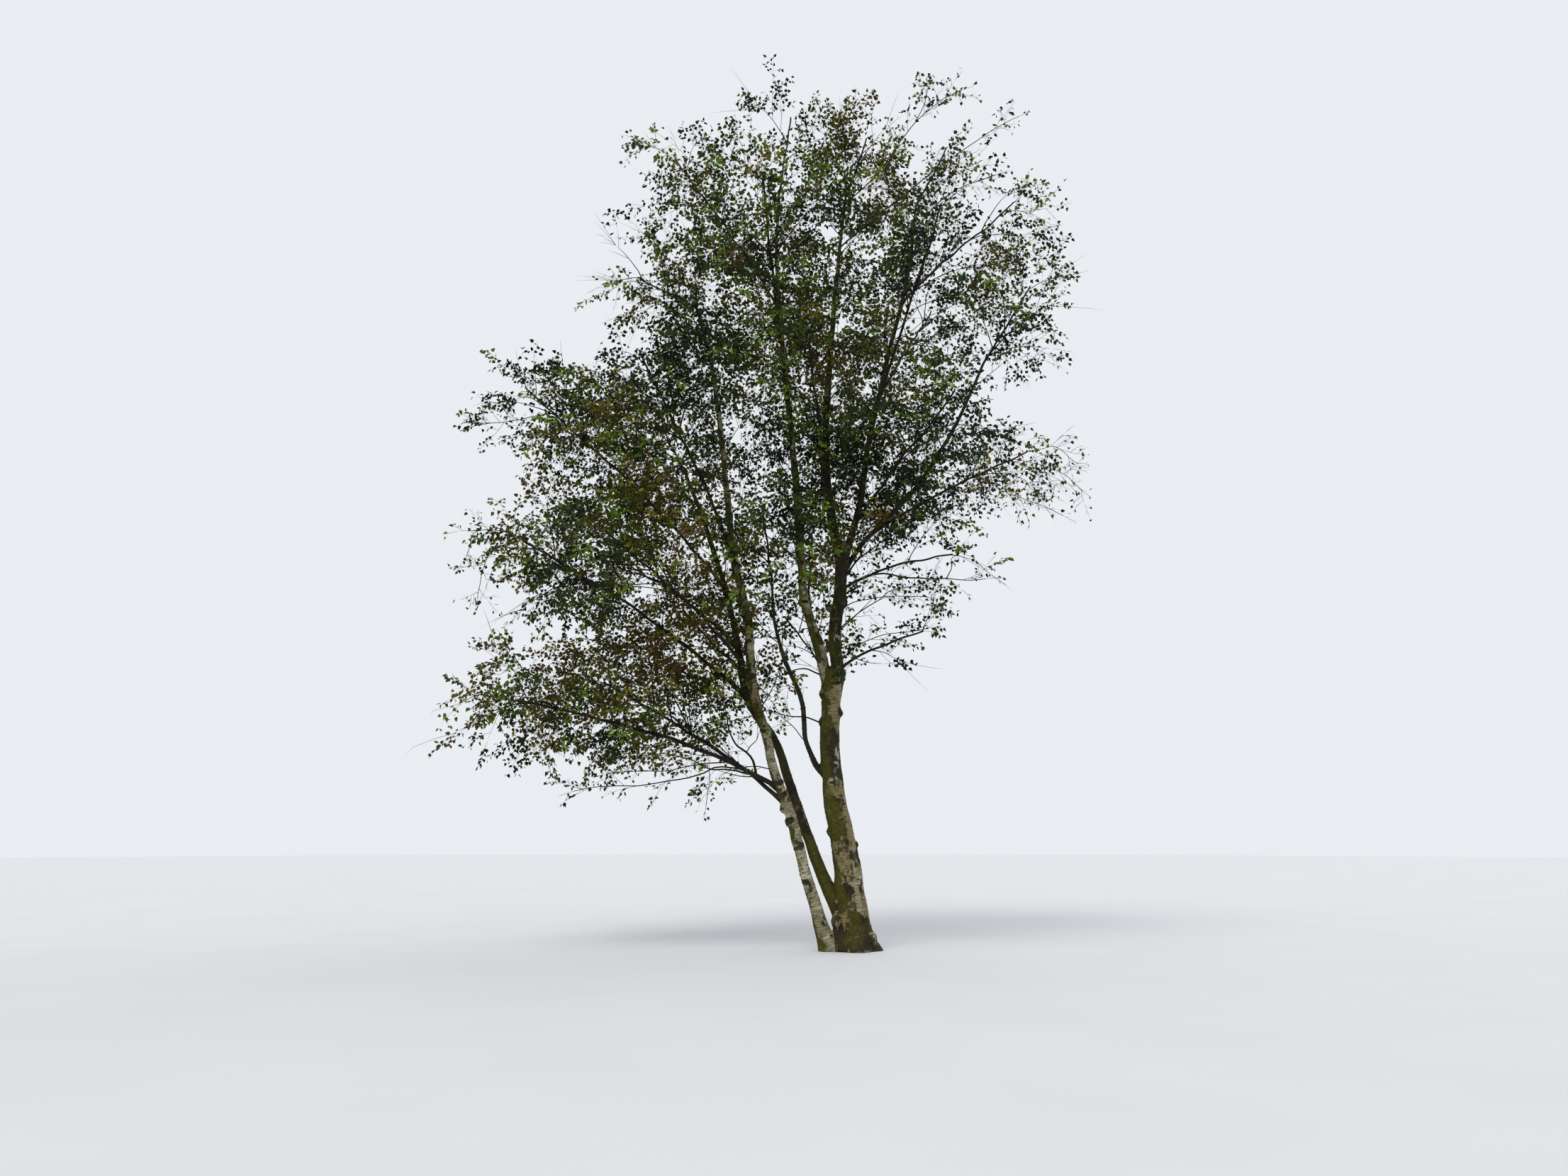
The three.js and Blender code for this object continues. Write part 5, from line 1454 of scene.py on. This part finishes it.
class BIRCH_OT_leaves(bpy.types.Operator):
    """Makes the leaves, spray by spray, and deals out their autumn tints"""

    bl_idname = "birch.leaves"
    bl_label = "Make the leaves"

    def execute(self, context):
        sizes = context.scene.birch_sizes
        place, turn, length, sag, fallen, autumn, template = placed_sprays()
        rng = np.random.default_rng(7)
        own = SprayTemplates().leaves[template]
        points = turned(own[..., :3] * length[:, None, None], turn) + place[:, None]
        points = hung(points, place[:, None], sag[:, None])
        ahead, face = turned(own[..., 3:6], turn), turned(own[..., 6:9], turn)
        size = sizes.leaf * rng.uniform(*LEAF_SIZES, (*own.shape[:2], 1))
        ahead = unit(ahead - UP * rng.uniform(*LEAF_HANG, size.shape))
        points = points + ahead * size * LEAF_STALK
        across = unit(np.cross(face + rng.normal(0, LEAF_STRAY, face.shape), ahead))
        normal = np.cross(ahead, across)
        corners = points[:, :, None] + size[:, :, None] * (
            ahead[:, :, None] * LEAF_OUTLINE[:, :1] + across[:, :, None] * LEAF_OUTLINE[:, 1:2]
            + normal[:, :, None] * LEAF_OUTLINE[:, 2:]
        )
        low, high = box_within()
        kept = ((corners > low) & (corners < high)).all((2, 3))
        kept &= rng.random(kept.shape) > fallen[:, None] * MOST_FALLEN
        drift = np.array([tint_drift(p) for p in place]) + (autumn + rng.normal(0, TINT_STRAYS, len(place)))
        rank = np.argsort(np.argsort(drift)) / len(place)
        edges = np.cumsum([share for _, _, share in TINTS])
        tint = np.searchsorted(edges / edges[-1], rank)
        for number, (name, colour, _) in enumerate(TINTS):
            blade = leaf_blade("leaf_" + name, colour)
            chosen = corners[(tint == number)[:, None] & kept]
            parts = max(1, math.ceil(len(chosen) * len(LEAF_FACES) / MOST_TRIANGLES))
            for part in range(parts):
                leaves = chosen[len(chosen) * part // parts : len(chosen) * (part + 1) // parts]
                faces = LEAF_FACES[None] + (np.arange(len(leaves)) * len(LEAF_OUTLINE))[:, None, None]
                mesh = joined_mesh(f"leaves_{name}_{part + 1}", leaves.reshape(-1, 3), faces.reshape(-1, 3), False)
                finish_mesh(mesh.name, mesh, blade, FOLIAGE_NODES)
        return {"FINISHED"}


class BIRCH_OT_stage(bpy.types.Operator):
    """Sets out the pale floor, the soft studio light and the camera"""

    bl_idname = "birch.stage"
    bl_label = "Set out the stage"

    def execute(self, context):
        scene = context.scene
        bm = bmesh.new()
        level = Matrix.Translation((0, 0, FLOOR_DEPTH))
        bmesh.ops.create_circle(bm, cap_ends=True, segments=96, radius=FLOOR_RADIUS, matrix=level)
        floor = bpy.data.objects.new("floor", mesh_of(bm, "floor"))
        floor.data.materials.append(studio_paper(scene.birch_colours.floor))
        context.collection.objects.link(floor)
        scene.world = bpy.data.worlds.new("studio")
        scene.world.use_nodes = True
        light = scene.world.node_tree.nodes["Background"].inputs
        light["Color"].default_value = (*SKY, 1)
        light["Strength"].default_value = 1.0
        for name, (strength, across, turn) in SUNS.items():
            lamp = bpy.data.lights.new(name, "SUN")
            lamp.energy, lamp.angle, lamp.color = strength, math.radians(across), SUN_COLOUR
            sun = bpy.data.objects.new(name, lamp)
            sun.rotation_euler = [math.radians(v) for v in turn]
            context.collection.objects.link(sun)
        lens = bpy.data.cameras.new("camera")
        lens.lens, lens.sensor_width, lens.clip_end = LENS, SENSOR, FARTHEST
        camera = bpy.data.objects.new("camera", lens)
        camera.location = EYE
        camera.rotation_euler = (math.radians(CAMERA_TILT), 0, 0)
        context.collection.objects.link(camera)
        scene.camera = camera
        scene.view_settings.view_transform = "Standard"
        return {"FINISHED"}


OPERATORS = (BIRCH_OT_stems, BIRCH_OT_boughs, BIRCH_OT_twigs, BIRCH_OT_leaves, BIRCH_OT_stage)


class BIRCH_PT_panel(bpy.types.Panel):
    """Lists the steps that make the tree, with its sizes and colours"""

    bl_idname = "BIRCH_PT_panel"
    bl_label = "Birch tree"
    bl_space_type = "VIEW_3D"
    bl_region_type = "UI"
    bl_category = "Birch"

    def draw(self, context):
        for operator in OPERATORS:
            self.layout.operator(operator.bl_idname)
        for group in (context.scene.birch_sizes, context.scene.birch_colours):
            for key in group.bl_rna.properties.keys():
                if key not in ("rna_type", "name"):
                    self.layout.prop(group, key)


CLASSES = (BirchSizes, BirchColours, *OPERATORS, BIRCH_PT_panel)


def register():
    for cls in CLASSES:
        bpy.utils.register_class(cls)
    bpy.types.Scene.birch_sizes = bpy.props.PointerProperty(type=BirchSizes)
    bpy.types.Scene.birch_colours = bpy.props.PointerProperty(type=BirchColours)


def unregister():
    del bpy.types.Scene.birch_sizes, bpy.types.Scene.birch_colours
    for cls in reversed(CLASSES):
        bpy.utils.unregister_class(cls)


def main():
    register()
    for operator in OPERATORS:
        group, _, step = operator.bl_idname.partition(".")
        if getattr(getattr(bpy.ops, group), step)() != {"FINISHED"}:
            raise RuntimeError(operator.bl_label + " did not finish")


if __name__ == "__main__":
    main()
